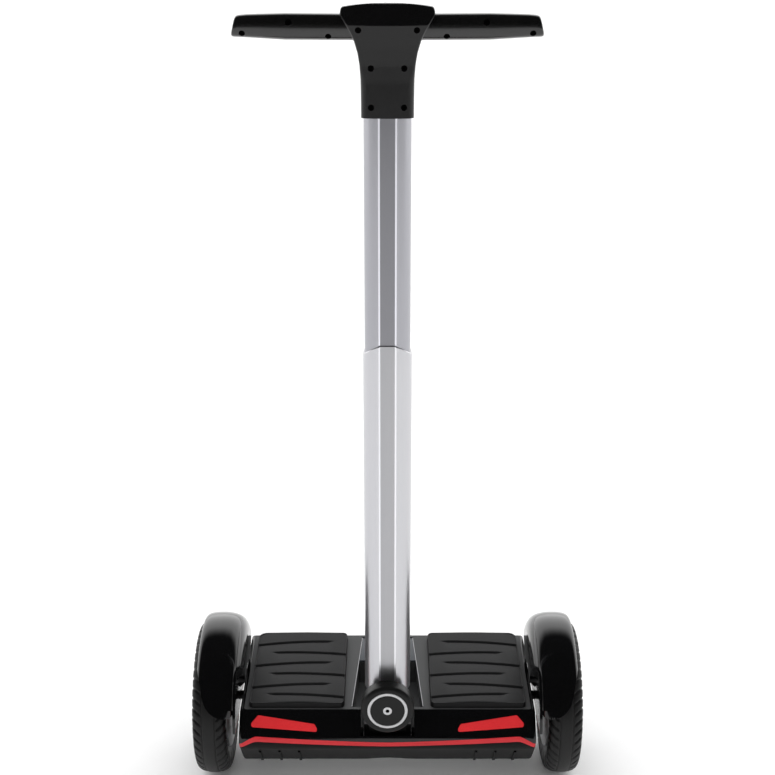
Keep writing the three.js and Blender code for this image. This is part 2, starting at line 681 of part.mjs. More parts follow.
addRoot("lower_shell", lowerShell(), paint.satinBlack);
addRoot("upper_shell", upperShell(), paint.glossBlack);
addRoot("deck_plate", deckPlate(), paint.deckGrey);
addRoot("tunnel_cover", tunnelCover(), paint.glass);
addRoot("trim_strip_front", stripe(-1), paint.red);
addRoot("trim_strip_rear", stripe(1), paint.red);
addRoot("chassis_frame", chassisFrame(), paint.castMetal);
addRoot("battery_pack", batteryPack(), paint.battery);
addRoot("controller_board", controllerBoard(), paint.board);
addRoot("charge_socket", chargeSocket(), paint.satinBlack);
addRoot("charge_flap", chargeFlap(), paint.rubber);

const mat = prismZ(matOutline(0), MAT_BASE, MAT_TOP, MAT_ROUND);
for (const [name, side] of [["left", 1], ["right", -1]]) {
  const handed = (body) => (side > 0 ? body : body.mirror([1, 0, 0]));
  addRoot(`foot_mat_${name}`, handed(mat), paint.rubber);
  addRoot(`foot_sensor_${name}`, handed(footSensor()), paint.board);
  addRoot(`front_light_${name}`, lamp(side, -1), paint.red);
  addRoot(`rear_light_${name}`, lamp(side, 1), paint.red);
  addRoot(`fender_${name}`, handed(fender()), paint.glossBlack);
  addRoot(`axle_clamp_${name}`, handed(axleClamp()), paint.castMetal);

  const wheel = new THREE.Group();
  wheel.position.set(side * WHEEL_X, 0, AXLE_Z);
  scooter.add(wheel);
  const bearing = (x) => ring(AXLE_R + GAP, BEARING_R, x, x + 5.6, X, 16);
  wheel.add(part(`tyre_${name}`, turned(tyreProfile(), X, 32), paint.tyre));
  wheel.add(part(`hub_shell_${name}`, handed(turned(hubShellProfile, X)), paint.castMetal));
  wheel.add(part(`hub_cover_${name}`, handed(turned(hubCoverProfile, X)), paint.castMetal));
  wheel.add(part(`magnet_ring_${name}`, handed(ring(68, 75.7, -17, 15, X, 28)), paint.steel));
  wheel.add(part(`bearing_outer_${name}`, handed(bearing(12.1)), paint.steel));
  wheel.add(part(`bearing_inner_${name}`, handed(bearing(-26)), paint.steel));
  wheel.add(part(`stator_${name}`, handed(stator()), paint.copper));
  wheel.add(part(`axle_${name}`, handed(axle()), paint.steel));
}

const pole = new THREE.Group();
pole.position.set(0, PIVOT_Y, PIVOT_Z);
pole.rotation.x = -degrees(LEAN_DEG);
scooter.add(pole);
pole.add(part("pivot_housing", pivotHousing(), paint.satinBlack));
pole.add(part("pivot_bearing_front", pivotBearing(-49), paint.steel));
pole.add(part("pivot_bearing_rear", pivotBearing(34.8), paint.steel));
pole.add(part("centring_buffer_left", buffer(), paint.rubber));
pole.add(part("centring_buffer_right", buffer().mirror([1, 0, 0]), paint.rubber));
pole.add(part("boss_cap", bossCap(), paint.satinBlack));
pole.add(part("cap_ring", capRing(), paint.silver));
pole.add(part("steer_knuckle", steerKnuckle(), paint.castMetal));
pole.add(part("outer_tube", outerTube(), paint.silver));
pole.add(part("lock_housing", lockHousing(), paint.satinBlack));
pole.add(part("lock_lever", lockLever(), paint.satinBlack));
pole.add(part("inner_tube", innerTube(), paint.silver));
pole.add(part("handle_front_shell", headFrontShell(), paint.satinBlack));
pole.add(part("handle_rear_shell", headRearShell(), paint.satinBlack));
pole.add(part("handlebar_core", handlebarCore(), paint.steel));
pole.add(part("grip_left", grip(), paint.rubber));
pole.add(part("grip_right", grip().mirror([1, 0, 0]), paint.rubber));
pole.add(part("display_panel", displayPanel(), paint.glass));
["horn_button", "power_button", "mode_button"].forEach((name, i) => {
  pole.add(part(name, button(BUTTON_AT[i]), paint.rubber));
});

// The foremost point is the steering cap and the rearmost the body's tail.
scooter.updateMatrixWorld(true);
const whole = new THREE.Box3().setFromObject(scooter);
const assembly = new THREE.Group();
scooter.position.y = -(whole.min.y + whole.max.y) / 2;
assembly.add(scooter);

export default assembly;
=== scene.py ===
import math

import bmesh
import bpy
from mathutils import Matrix, Vector


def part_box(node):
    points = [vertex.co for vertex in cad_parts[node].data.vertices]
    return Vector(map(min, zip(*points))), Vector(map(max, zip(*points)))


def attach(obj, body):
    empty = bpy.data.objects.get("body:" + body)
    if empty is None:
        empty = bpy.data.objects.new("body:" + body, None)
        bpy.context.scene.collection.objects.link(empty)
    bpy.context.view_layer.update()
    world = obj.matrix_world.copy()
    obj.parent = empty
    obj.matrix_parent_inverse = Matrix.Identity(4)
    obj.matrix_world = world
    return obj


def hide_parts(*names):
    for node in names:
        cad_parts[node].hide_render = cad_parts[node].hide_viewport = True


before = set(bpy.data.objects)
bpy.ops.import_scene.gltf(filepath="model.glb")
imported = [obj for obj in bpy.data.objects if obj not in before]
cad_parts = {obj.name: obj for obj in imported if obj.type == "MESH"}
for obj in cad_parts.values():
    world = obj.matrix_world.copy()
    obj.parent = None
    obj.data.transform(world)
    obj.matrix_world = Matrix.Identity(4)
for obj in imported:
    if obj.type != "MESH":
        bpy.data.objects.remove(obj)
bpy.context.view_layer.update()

# ------------------------------------------------------------- driving dimensions, in millimetres
GAP = 0.3
TYRE_R = 127.0
TYRE_HALF = 27.0
WHEEL_X = 290.5
AXLE_Z = TYRE_R
BODY_HALF = 241.0
WALL = 3.0
DECK_Z = 166.0
BELLY_Z = 50.0
END_ROUND = 5.5
DECK_FRONT = -96.0
DECK_REAR = 123.0
DECK_HALF = 234.0
DECK_THICK = 6.0
TAIL = 147.0
ARCH_HALF = 75.0
ARCH_RISE = 12.0
MAT_IN, MAT_OUT = 71.0, 226.0
MAT_FRONT, MAT_REAR = -92.0, 118.0
MAT_BASE, MAT_TOP = 164.0, 178.0
SLOT_FRONT_HALF, SLOT_REAR_HALF = 59.0, 45.0
SLOT_FRONT, SLOT_REAR = -90.0, 118.0
WELL_REAR, WELL_FLOOR, WELL_WALL = 46.0, 118.0, 2.5
FENDER_R = 140.0
PIVOT_Y, PIVOT_Z = -80.0, 191.0
LEAN_DEG = 2.5
BOSS_R = 42.5
CAP_RING_IN, CAP_RING_OUT = 27.5, 32.0
TUBE_HALF_X, TUBE_HALF_Y = 36.4, 27.0
TUBE_WALL, TUBE_FIT = 2.1, 0.4
GROOVE_HALF, GROOVE_DEEP = 10.5, 1.8
TUBE_FOOT, RIM_TOP, RIM_ARCH_R = 14.0, 600.0, 45.0
INNER_FOOT, STEM_FOOT, HEAD_TOP = 500.0, 932.0, 1086.0
GRIP_Z, GRIP_END, HEAD_SPLIT = 1053.0, 215.0, -4.0
BUTTON_AT, BUTTON_Y, BUTTON_R = (-26.0, 0.0, 26.0), 24.0, 6.5
SIDES = (("left", 1), ("right", -1))

low_corner, high_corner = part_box("tyre_left")
AXLE_Y = (low_corner[1] + high_corner[1]) / 2
TO_METRES = Matrix.Translation((0, AXLE_Y, 0)) @ Matrix.Scale(0.001, 4)
POLE = (
    TO_METRES
    @ Matrix.Translation((0, PIVOT_Y, PIVOT_Z))
    @ Matrix.Rotation(-math.radians(LEAN_DEG), 4, "X")
)
FACE_TILT = math.atan2(HEAD_TOP - 1040, 62)
FACE = (
    POLE
    @ Matrix.Translation((0, 13, (HEAD_TOP + 1040) / 2))
    @ Matrix.Rotation(-FACE_TILT, 4, "X")
)


def wheel_frame(side):
    """The wheel's own frame: its middle is the origin and outwards is +X."""
    middle = TO_METRES @ Matrix.Translation((side * WHEEL_X, 0, AXLE_Z))
    return middle @ Matrix.Diagonal((side, 1, 1, 1))


# ------------------------------------------------------------- mesh tools
def mesh_object(name, verts, faces, place=TO_METRES):
    data = bpy.data.meshes.new(name)
    data.from_pydata([place @ Vector(v) for v in verts], [], faces)
    made = bmesh.new()
    made.from_mesh(data)
    bmesh.ops.remove_doubles(made, verts=made.verts, dist=1e-7)
    bmesh.ops.recalc_face_normals(made, faces=made.faces)
    made.to_mesh(data)
    made.free()
    thing = bpy.data.objects.new(name, data)
    bpy.context.collection.objects.link(thing)
    return thing


def settle(thing):
    """Turns the object's modifiers into its mesh."""
    graph = bpy.context.evaluated_depsgraph_get()
    data = bpy.data.meshes.new_from_object(thing.evaluated_get(graph))
    thing.modifiers.clear()
    thing.data = data
    return thing


def boolean(thing, operation, *tools):
    for tool in tools:
        step = thing.modifiers.new("cut", "BOOLEAN")
        step.operation = operation
        step.solver = "EXACT"
        step.object = tool
        settle(thing)
        bpy.data.objects.remove(tool)
    return thing


def cut(thing, *tools):
    return boolean(thing, "DIFFERENCE", *tools)


def keep(thing, *tools):
    return boolean(thing, "INTERSECT", *tools)


def join(thing, *tools):
    return boolean(thing, "UNION", *tools)


def merge(name, things):
    """Several loose meshes as one object, without a boolean."""
    data = bpy.data.meshes.new(name)
    made = bmesh.new()
    for thing in things:
        made.from_mesh(thing.data)
        bpy.data.objects.remove(thing)
    made.to_mesh(data)
    made.free()
    whole = bpy.data.objects.new(name, data)
    bpy.context.collection.objects.link(whole)
    return whole


def soften(thing, width, segments=3, angle=32):
    """Rounds the sharp edges over, by a width in millimetres."""
    step = thing.modifiers.new("edges", "BEVEL")
    step.width = width / 1000
    step.segments = segments
    step.limit_method = "ANGLE"
    step.angle_limit = math.radians(angle)
    step.use_clamp_overlap = True
    step.harden_normals = False
    return settle(thing)


def smooth(thing, angle=38):
    for face in thing.data.polygons:
        face.use_smooth = True
    thing.data.set_sharp_from_angle(angle=math.radians(angle))


def rounded(corners, steps=8):
    """Corner points (a, b, radius) as an outline with arcs at the corners."""
    outline = []
    for i, corner in enumerate(corners):
        here = Vector(corner[:2])
        radius = corner[2] if len(corner) > 2 else 0
        if not radius:
            outline.append(tuple(here))
            continue
        back = (Vector(corners[i - 1][:2]) - here).normalized()
        on = (Vector(corners[(i + 1) % len(corners)][:2]) - here).normalized()
        half = math.acos(max(-1, min(1, back.dot(on)))) / 2
        centre = here + (back + on).normalized() * (radius / math.sin(half))
        start = here + back * (radius / math.tan(half)) - centre
        end = here + on * (radius / math.tan(half)) - centre
        first = math.atan2(start.y, start.x)
        sweep = (math.atan2(end.y, end.x) - first + math.pi) % (2 * math.pi) - math.pi
        for s in range(steps + 1):
            turn = first + sweep * s / steps
            outline.append((centre.x + radius * math.cos(turn), centre.y + radius * math.sin(turn)))
    return outline


def inset(points, distance):
    """An outline moved inwards by a distance, or outwards if it is negative."""
    if not distance:
        return list(points)
    count = len(points)
    area = sum(
        points[i][0] * points[(i + 1) % count][1] - points[i][1] * points[(i + 1) % count][0]
        for i in range(count)
    )
    side = distance if area > 0 else -distance
    moved = []
    for i, (x, y) in enumerate(points):
        last, nxt = points[i - 1], points[(i + 1) % count]
        u = Vector((x - last[0], y - last[1])).normalized()
        v = Vector((nxt[0] - x, nxt[1] - y)).normalized()
        spread = max(0.2, 1 + u.dot(v))
        moved.append((x + side * (-u.y - v.y) / spread, y + side * (u.x + v.x) / spread))
    return moved


def mirrored(points):
    return [(-x, z) for x, z in reversed(points)]


PUT = {
    "X": lambda a, b, h: (h, a, b),
    "Y": lambda a, b, h: (a, h, b),
    "Z": lambda a, b, h: (a, b, h),
}


def loft(name, rings, place=TO_METRES, caps=True, around=True):
    count = len(rings[0])
    verts = [p for ring in rings for p in ring]
    faces = []
    for r in range(len(rings) - 1):
        for i in range(count if around else count - 1):
            a, b = r * count + i, r * count + (i + 1) % count
            faces.append((a, b, b + count, a + count))
    if caps:
        faces.append(tuple(range(count)))
        faces.append(tuple(range(len(verts) - count, len(verts))))
    return mesh_object(name, verts, faces, place)


def prism(name, outline, low, high, axis, roundness=0.0, place=TO_METRES, steps=4):
    """An outline extruded along an axis, with both end edges rounded over."""
    put = PUT[axis]
    levels = [(0.0, low), (0.0, high)]
    if roundness:
        arc = [math.pi / 2 * s / steps for s in range(steps + 1)]
        levels = [(roundness * (1 - math.sin(t)), low + roundness * (1 - math.cos(t))) for t in arc]
        levels += [(d, high - (h - low)) for d, h in reversed(levels)]
    rings = []
    for shrink, height in levels:
        rings.append([put(a, b, height) for a, b in inset(outline, shrink)])
    return loft(name, rings, place)


def block(name, x0, x1, y0, y1, z0, z1, place=TO_METRES):
    return prism(name, [(x0, y0), (x1, y0), (x1, y1), (x0, y1)], z0, z1, "Z", 0, place)


def lathe(name, profile, axis, place=TO_METRES, segments=96):
    """A closed profile of (radius, place) points turned about an axis."""
    verts, faces = [], []
    count = len(profile)
    for s in range(segments):
        turn = 2 * math.pi * s / segments
        for r, h in profile:
            verts.append(PUT[axis](r * math.cos(turn), r * math.sin(turn), h))
    for s in range(segments):
        for i in range(count):
            a, b = s * count + i, s * count + (i + 1) % count
            c, d = (b + count) % len(verts), (a + count) % len(verts)
            faces.append((a, b, c, d))
    return mesh_object(name, verts, faces, place)


def rod(name, radius, low, high, axis, place=TO_METRES, middle=(0, 0), segments=40):
    put = PUT[axis]
    circle = []
    for s in range(segments):
        turn = 2 * math.pi * s / segments
        circle.append((middle[0] + radius * math.cos(turn), middle[1] + radius * math.sin(turn)))
    rings = [[put(a, b, h) for a, b in circle] for h in (low, high)]
    return loft(name, rings, place)


def curve_through(points, steps):
    """A smooth open line through the points, as Catmull-Rom pieces."""
    line = []
    for i in range(len(points) - 1):
        p1, p2 = Vector(points[i]), Vector(points[i + 1])
        p0 = Vector(points[i - 1]) if i else p1 * 2 - p2
        p3 = Vector(points[i + 2]) if i + 2 < len(points) else p2 * 2 - p1
        for s in range(steps):
            t = s / steps
            line.append(
                0.5 * (2 * p1 + (p2 - p0) * t + (2 * p0 - 5 * p1 + 4 * p2 - p3) * t * t
                       + (3 * p1 - p0 - 3 * p2 + p3) * t ** 3)
            )
    line.append(Vector(points[-1]))
    return line


def along(table, at):
    """The value at a place in a table of (place, value) rows, joined by straight lines."""
    if at <= table[0][0]:
        return table[0][1]
    for (a, va), (b, vb) in zip(table, table[1:]):
        if at <= b:
            return va + (vb - va) * (at - a) / (b - a)
    return table[-1][1]


def ease(t):
    t = max(0.0, min(1.0, t))
    return t * t * (3 - 2 * t)


# ------------------------------------------------------------- materials
def surface(name, colour, rough, metallic=0.0, coat=0.0, vary=0.12, grain=900.0, bump=0.02,
            rough_vary=0.06, stretch=(1, 1, 1), glow=0.0, spec=0.5):
    made = bpy.data.materials.new(name)
    made.use_nodes = True
    nodes, links = made.node_tree.nodes, made.node_tree.links
    shader = nodes["Principled BSDF"]
    shader.inputs["Metallic"].default_value = metallic
    shader.inputs["Coat Weight"].default_value = coat
    shader.inputs["Coat Roughness"].default_value = 0.06
    shader.inputs["Specular IOR Level"].default_value = spec
    place = nodes.new("ShaderNodeTexCoord")
    scale = nodes.new("ShaderNodeMapping")
    scale.inputs["Scale"].default_value = stretch
    links.new(place.outputs["Object"], scale.inputs["Vector"])

    def noise(size, detail):
        made_noise = nodes.new("ShaderNodeTexNoise")
        made_noise.inputs["Scale"].default_value = size
        made_noise.inputs["Detail"].default_value = detail
        links.new(scale.outputs["Vector"], made_noise.inputs["Vector"])
        return made_noise

    cloud = noise(14.0, 5.0)
    fine = noise(grain, 3.0)
    ramp = nodes.new("ShaderNodeValToRGB")
    ramp.color_ramp.elements[0].position = 0.3
    ramp.color_ramp.elements[1].position = 0.7
    ramp.color_ramp.elements[0].color = [c * (1 - vary) for c in colour] + [1]
    ramp.color_ramp.elements[1].color = [min(1, c * (1 + vary)) for c in colour] + [1]
    both = nodes.new("ShaderNodeMath")
    both.operation = "MULTIPLY_ADD"
    both.inputs[1].default_value = 0.45
    links.new(fine.outputs["Fac"], both.inputs[0])
    half = nodes.new("ShaderNodeMath")
    half.operation = "MULTIPLY"
    half.inputs[1].default_value = 0.55
    links.new(cloud.outputs["Fac"], half.inputs[0])
    links.new(half.outputs[0], both.inputs[2])
    links.new(both.outputs[0], ramp.inputs["Fac"])
    links.new(ramp.outputs["Color"], shader.inputs["Base Color"])
    spread = nodes.new("ShaderNodeMapRange")
    spread.inputs["To Min"].default_value = max(0.02, rough - rough_vary)
    spread.inputs["To Max"].default_value = min(1.0, rough + rough_vary)
    links.new(both.outputs[0], spread.inputs["Value"])
    links.new(spread.outputs["Result"], shader.inputs["Roughness"])
    if bump:
        relief = nodes.new("ShaderNodeBump")
        relief.inputs["Strength"].default_value = bump
        relief.inputs["Distance"].default_value = 0.001
        links.new(fine.outputs["Fac"], relief.inputs["Height"])
        links.new(relief.outputs["Normal"], shader.inputs["Normal"])
    if glow:
        shader.inputs["Emission Color"].default_value = [*colour, 1]
        shader.inputs["Emission Strength"].default_value = glow
    return made


LOOKS = {
    "gloss_black_shell": surface(
        "gloss_black", (0.003, 0.003, 0.0033), 0.1, coat=0.35, bump=0.002, rough_vary=0.03, grain=60,
        spec=0.3,
    ),
    "satin_black_shell": surface(
        "satin_black", (0.0065, 0.0065, 0.0065), 0.45, bump=0.05, grain=1800, spec=0.12,
    ),
    "deck_grey": surface("deck_grey", (0.055, 0.056, 0.057), 0.55, bump=0.05, grain=1500, spec=0.2),
    "tunnel_panel": surface(
        "tunnel_gloss", (0.045, 0.05, 0.058), 0.2, coat=0.06, bump=0.004, grain=80, spec=0.2,
    ),
    # The red trim is given a faint emission, a painted glow, though it is no lamp.
    "red_trim": surface("red_satin_painted_glow", (0.72, 0.03, 0.04), 0.35, bump=0.03, grain=1200, glow=0.05, spec=0.3),
    "red_lens": surface(
        "red_lens", (0.75, 0.026, 0.032), 0.16, coat=0.4, bump=0.05, grain=420, glow=0.1, vary=0.1,
    ),
    "frame_casting": surface("cast_grey", (0.3, 0.3, 0.31), 0.55, metallic=0.8, bump=0.2, grain=700),
    "battery_wrap": surface("battery_wrap", (0.03, 0.11, 0.36), 0.35, bump=0.1, grain=300),
    "circuit_board": surface("board_green", (0.012, 0.09, 0.035), 0.45, bump=0.1, grain=500),
    "black_fitting": surface(
        "black_fitting", (0.007, 0.007, 0.007), 0.36, bump=0.05, grain=1500, spec=0.25,
    ),
    "flap_rubber": surface("flap_rubber", (0.016, 0.016, 0.016), 0.6, bump=0.12, grain=1100),
    "mat_rubber": surface(
        "mat_rubber", (0.0125, 0.0125, 0.013), 0.5, bump=0.1, grain=1300, vary=0.12, spec=0.12,
    ),
    "tyre_rubber": surface(
        "tyre_rubber", (0.009, 0.009, 0.009), 0.5, bump=0.15, grain=900, vary=0.2, spec=0.28,
    ),
    "hub_metal": surface("hub_metal", (0.36, 0.36, 0.37), 0.4, metallic=0.85, bump=0.06, grain=1500),
    "steel": surface("turned_steel", (0.42, 0.42, 0.43), 0.3, metallic=1.0, bump=0.04, grain=900),
    "stator_winding": surface("stator_winding", (0.5, 0.22, 0.09), 0.4, metallic=0.7, bump=0.2, grain=400),
    "anodised_silver": surface(
        "anodised_silver", (0.94, 0.94, 0.99), 0.3, metallic=0.9, bump=0.03, grain=1400,
        stretch=(1, 1, 0.02), vary=0.04, rough_vary=0.05,
    ),
    "inner_silver": surface(
        "inner_silver", (0.9, 0.9, 0.97), 0.3, metallic=0.9, bump=0.03, grain=1400,
        stretch=(1, 1, 0.02), vary=0.04, rough_vary=0.05,
    ),
    "silver_trim": surface("silver_trim", (0.62, 0.62, 0.63), 0.3, metallic=0.6, bump=0.02, grain=900),
    "edge_trim": surface("edge_trim", (0.3, 0.3, 0.31), 0.3, metallic=0.8, bump=0.02, grain=900),
    "grip_rubber": surface(
        "grip_satin", (0.004, 0.004, 0.004), 0.24, bump=0.03, grain=1900, spec=0.5, coat=0.5,
    ),
    "handle_shell": surface(
        "handle_satin", (0.0035, 0.0035, 0.0037), 0.26, bump=0.03, grain=1900, spec=0.36,
    ),
    "display_glass": surface(
        "display_glass", (0.006, 0.007, 0.009), 0.06, coat=1.0, bump=0.0, vary=0.3, rough_vary=0.02,
    ),
    "button_rubber": surface("button_rubber", (0.07, 0.07, 0.075), 0.55, bump=0.1, grain=1500),
    # Near-black with no specular: the screws' own black, darkened further as painted shade for the shade in
    # their recesses.
    "screw_black_painted_shade": surface("screw_black_painted_shade", (0.0015, 0.0015, 0.0015), 0.8, bump=0.02, grain=600, spec=0.0),
}


def piece(thing, body, slot, replaces=(), look=None, edge=0.0, angle=38):
    """A finished piece: edges softened, shaded, painted, and tied to its body."""
    if edge:
        soften(thing, edge)
    smooth(thing, angle)
    if edge:
        even = thing.modifiers.new("even", "WEIGHTED_NORMAL")
        even.keep_sharp = True
    thing.data.materials.clear()
    thing.data.materials.append(LOOKS[look or slot])
    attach(thing, body)
    if replaces:
        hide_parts(*replaces)
    return thing


# ------------------------------------------------------------- body shells
STRIPE_END, STRIPE_HALF, STRIPE_DEEP, LAMP_DEEP = 213.0, 4.2, 2.0, 2.4
RIB_AT, RIB_HALF, RIB_PROUD = (145, 177, 209), 1.7, 2.4
AXLE_HOLE_R, NOTCH_HALF, CHARGE_HOLE_R = 9.5, 43.5, 10.4
PARTING_Z, PARTING_RISE, PARTING_FALL = 120.5, 10, 15
hull_outline = rounded([
    (DECK_FRONT - 1, DECK_Z, 6),
    (-138, 126, 26),
    (-76, BELLY_Z, 22),
    (88, BELLY_Z, 22),
    (TAIL, 124, 24),
    (DECK_REAR + 3, DECK_Z, 6),
])


def hull(shrink):
    half = BODY_HALF - shrink
    return prism("hull", inset(hull_outline, shrink), -half, half, "X", END_ROUND - shrink)


def parting(x):
    """Height of the line between the shells: a little higher outwards, then down at each end."""
    away = abs(x)
    rise = PARTING_RISE * (min(away, STRIPE_END) / STRIPE_END) ** 1.4
    fall = PARTING_FALL * (max(0, away - STRIPE_END) / (BODY_HALF - STRIPE_END)) ** 1.3
    return PARTING_Z + rise - fall


def parting_line(lift):
    places = [-250 + 500 * i / 100 for i in range(101)]
    return [(x, parting(x) + lift) for x in places]


def below(lift):
    return prism("below", parting_line(lift) + [(250, 0), (-250, 0)], -200, 200, "Y")


def stripe_band(grow, end):
    low, high = sorted((40 * end, 170 * end))
    line = parting_line(STRIPE_HALF + grow) + parting_line(-STRIPE_HALF - grow)[::-1]
    return prism("band", line, low, high, "Y")


def belly_arch(lift):
    line = []
    for i in range(-16, 17):
        rise = ARCH_RISE * (1 + math.cos(math.pi * i / 16)) / 2
        line.append((ARCH_HALF * i / 16, BELLY_Z + lift + rise))
    return prism("arch", line + [(ARCH_HALF, 30), (-ARCH_HALF, 30)], -160, 160, "Y")


def lamp_tool(grow, side, end):
    corners = rounded([(226, 146.5, 3), (210.5, 159.5, 4), (118.5, 149.5, 4), (111.5, 140.5, 2.5)], 5)
    outline = inset(corners, -grow)
    low, high = sorted((60 * end, 170 * end))
    return prism("lamp_tool", outline if side > 0 else mirrored(outline), low, high, "Y")


def slot_half(y):
    """Half the tapered well's width at a place along the deck."""
    taper = (SLOT_REAR_HALF - SLOT_FRONT_HALF) / (SLOT_REAR - SLOT_FRONT)
    return SLOT_FRONT_HALF + (y - SLOT_FRONT) * taper


def slot_outline(grow, y0, y1):
    a, b = slot_half(y0) + grow, slot_half(y1) + grow
    return [(-a, y0), (a, y0), (b, y1), (-b, y1)]


def pivot_notch():
    return block("notch", -NOTCH_HALF, NOTCH_HALF, -126, -60, 128, 200)


CHARGE_TILT = math.atan2(DECK_Z - 124, TAIL - DECK_REAR - 3)
CHARGE = (
    TO_METRES
    @ Matrix.Translation((0, (DECK_REAR + 3 + TAIL) / 2, (DECK_Z + 124) / 2))
    @ Matrix.Rotation(-CHARGE_TILT, 4, "X")
)

ribs = []
for at in RIB_AT:
    for side in (1, -1):
        rib = prism("rib", inset(hull_outline, -RIB_PROUD), side * at - RIB_HALF, side * at + RIB_HALF, "X")
        ribs.append(rib)
rib_set = merge("ribs", ribs)
zone = merge("zone", [
    block("zone", -240, 240, -160, -52, 20, 96), block("zone", -240, 240, 62, 160, 20, 96),
])
keep(rib_set, zone)
lower = join(hull(0), rib_set)
cut(lower, belly_arch(0))
keep(lower, below(-STRIPE_HALF - GAP))
hollow = cut(hull(WALL), belly_arch(WALL))
cut(lower, hollow)
cut(lower, rod("axle_hole", AXLE_HOLE_R, -260, 260, "X", middle=(0, AXLE_Z)))
piece(lower, "base", "satin_black_shell", ["lower_shell"], edge=0.7)

ledge_top = DECK_Z - DECK_THICK - GAP
upper = cut(hull(0), hull(WALL))
ledge = keep(hull(0), block("ledge", -DECK_HALF, DECK_HALF, -150, 150, ledge_top - 4, ledge_top))
cut(ledge, block("inside", -226, 226, DECK_FRONT + 2.5, DECK_REAR - 8, 100, 180))
join(upper, ledge)
cut(upper, below(-STRIPE_HALF))
opening = rounded([
    (-DECK_HALF - GAP, DECK_FRONT - GAP, 4), (DECK_HALF + GAP, DECK_FRONT - GAP, 4),
    (DECK_HALF + GAP, DECK_REAR + GAP, 4), (-DECK_HALF - GAP, DECK_REAR + GAP, 4),
], 6)
cut(upper, prism("opening", opening, ledge_top, 200, "Z"))
cut(upper, rod("axle_hole", AXLE_HOLE_R, -260, 260, "X", middle=(0, AXLE_Z)))
for end in (-1, 1):
    cut(upper, keep(stripe_band(GAP, end), cut(hull(-1), hull(STRIPE_DEEP + GAP))))
    for side in (1, -1):
        cut(upper, keep(lamp_tool(GAP, side, end), cut(hull(-1), hull(LAMP_DEEP + GAP))))
cut(upper, pivot_notch(), rod("port", CHARGE_HOLE_R, -20, 20, "Z", CHARGE))
piece(upper, "base", "gloss_black_shell", ["upper_shell"], edge=0.8)

for end, word in ((-1, "front"), (1, "rear")):
    trim = keep(stripe_band(0, end), cut(hull(0), hull(STRIPE_DEEP)))
    piece(trim, "base", "red_trim", [f"trim_strip_{word}"], edge=0.5)
    trim.name = f"trim_{word}"
    for word_side, side in SIDES:
        lens = keep(lamp_tool(0, side, end), cut(hull(0), hull(LAMP_DEEP)))
        lens.name = f"lens_{word}_{word_side}"
        piece(lens, "base", "red_lens", [f"{word}_light_{word_side}"], edge=0.7)

# ------------------------------------------------------------- deck, mats and tunnel
deck_outline = rounded([
    (-DECK_HALF, DECK_FRONT, 4),
    (DECK_HALF, DECK_FRONT, 4),
    (DECK_HALF, DECK_REAR, 4),
    (-DECK_HALF, DECK_REAR, 4),
], 6)
deck = prism("deck", deck_outline, DECK_Z - DECK_THICK, DECK_Z, "Z")
skirt_outline = slot_outline(WELL_WALL, SLOT_FRONT - WELL_WALL, WELL_REAR + WELL_WALL)
join(deck, prism("skirt", skirt_outline, WELL_FLOOR, DECK_Z - 1, "Z"))
cut(deck, prism("well", slot_outline(0, SLOT_FRONT, WELL_REAR), WELL_FLOOR + WELL_WALL, 200, "Z"))
cut(deck, prism("recess", slot_outline(0, SLOT_FRONT, SLOT_REAR), DECK_Z - DECK_THICK + 1.5, 200, "Z"))
cut(deck, block("front", -40, 40, -130, -28, WELL_FLOOR - 5, 200), pivot_notch())
MAT_CORNER, MAT_OUTER_CORNER = 8, 12
mat_corners = [
    (MAT_IN, MAT_FRONT, MAT_CORNER),
    (MAT_OUT, MAT_FRONT, MAT_CORNER),
    (MAT_OUT, MAT_REAR, MAT_OUTER_CORNER),
    (MAT_IN, MAT_REAR, MAT_CORNER),
]
pocket_outline = inset(rounded(mat_corners), -0.6)
for side in (1, -1):
    line = pocket_outline if side > 0 else mirrored(pocket_outline)
    cut(deck, prism("pocket", line, MAT_BASE - 2, DECK_Z + 5, "Z"))
piece(deck, "base", "deck_grey", ["deck_plate"], edge=0.8)

cover_line = slot_outline(-GAP, WELL_REAR + 0.5, SLOT_REAR - GAP)
cover = prism("cover", cover_line, DECK_Z - DECK_THICK + 1.8, DECK_Z - 1.2, "Z", 0.5)
piece(cover, "base", "tunnel_panel", ["tunnel_cover"])

EDGE_WIDE = 1.1
edges = []
for side in (1, -1):
    a, b = slot_half(SLOT_FRONT + 2) - 0.1, slot_half(SLOT_REAR - 2) - 0.1
    line = [
        (side * a, SLOT_FRONT + 2),
        (side * b, SLOT_REAR - 2),
        (side * (b - EDGE_WIDE), SLOT_REAR - 2),
        (side * (a - EDGE_WIDE), SLOT_FRONT + 2),
    ]
    edges.append(prism("edge", line, DECK_Z - 1.1, DECK_Z - 0.2, "Z"))
tunnel_edges = merge("tunnel_edges", edges)
cut(tunnel_edges, pivot_notch())
piece(tunnel_edges, "base", "silver_trim", look="edge_trim", edge=0.2)

# Each groove of the left mat as (x, y) at its open end and at its blind end.
GROOVES = (
    ((226, 81), (92, 89)), ((71, 51), (201, 55)), ((226, 17), (92, 25)),
    ((71, -12), (201, -8)), ((226, -46), (92, -38)), ((71, -74), (201, -66)),
)
GROOVE_WIDE, GROOVE_DOWN, STEP_DOWN, STEP_LONG = 1.25, 2.3, 1.9, 18.0


def mat_relief(x, y):
    """How far the mat's top lies below its crown at a place."""
    middle = (MAT_FRONT + MAT_REAR) / 2
    drop = 0.5 * ((y - middle) / (MAT_REAR - middle)) ** 4 + 4.0 * ((x - 144) / 80) ** 2
    for (x0, y0), (x1, y1) in GROOVES:
        slope = (y1 - y0) / (x1 - x0)
        off = y - (y0 + slope * (x - x0))
        left = (x1 - x) if x1 > x0 else (x - x1)
        fade = ease(left / 16)
        if not fade:
            continue
        drop += fade * GROOVE_DOWN * math.exp(-((off / GROOVE_WIDE) ** 2))
        if off < 0:
            drop += fade * STEP_DOWN * math.exp(off / STEP_LONG)
    return drop


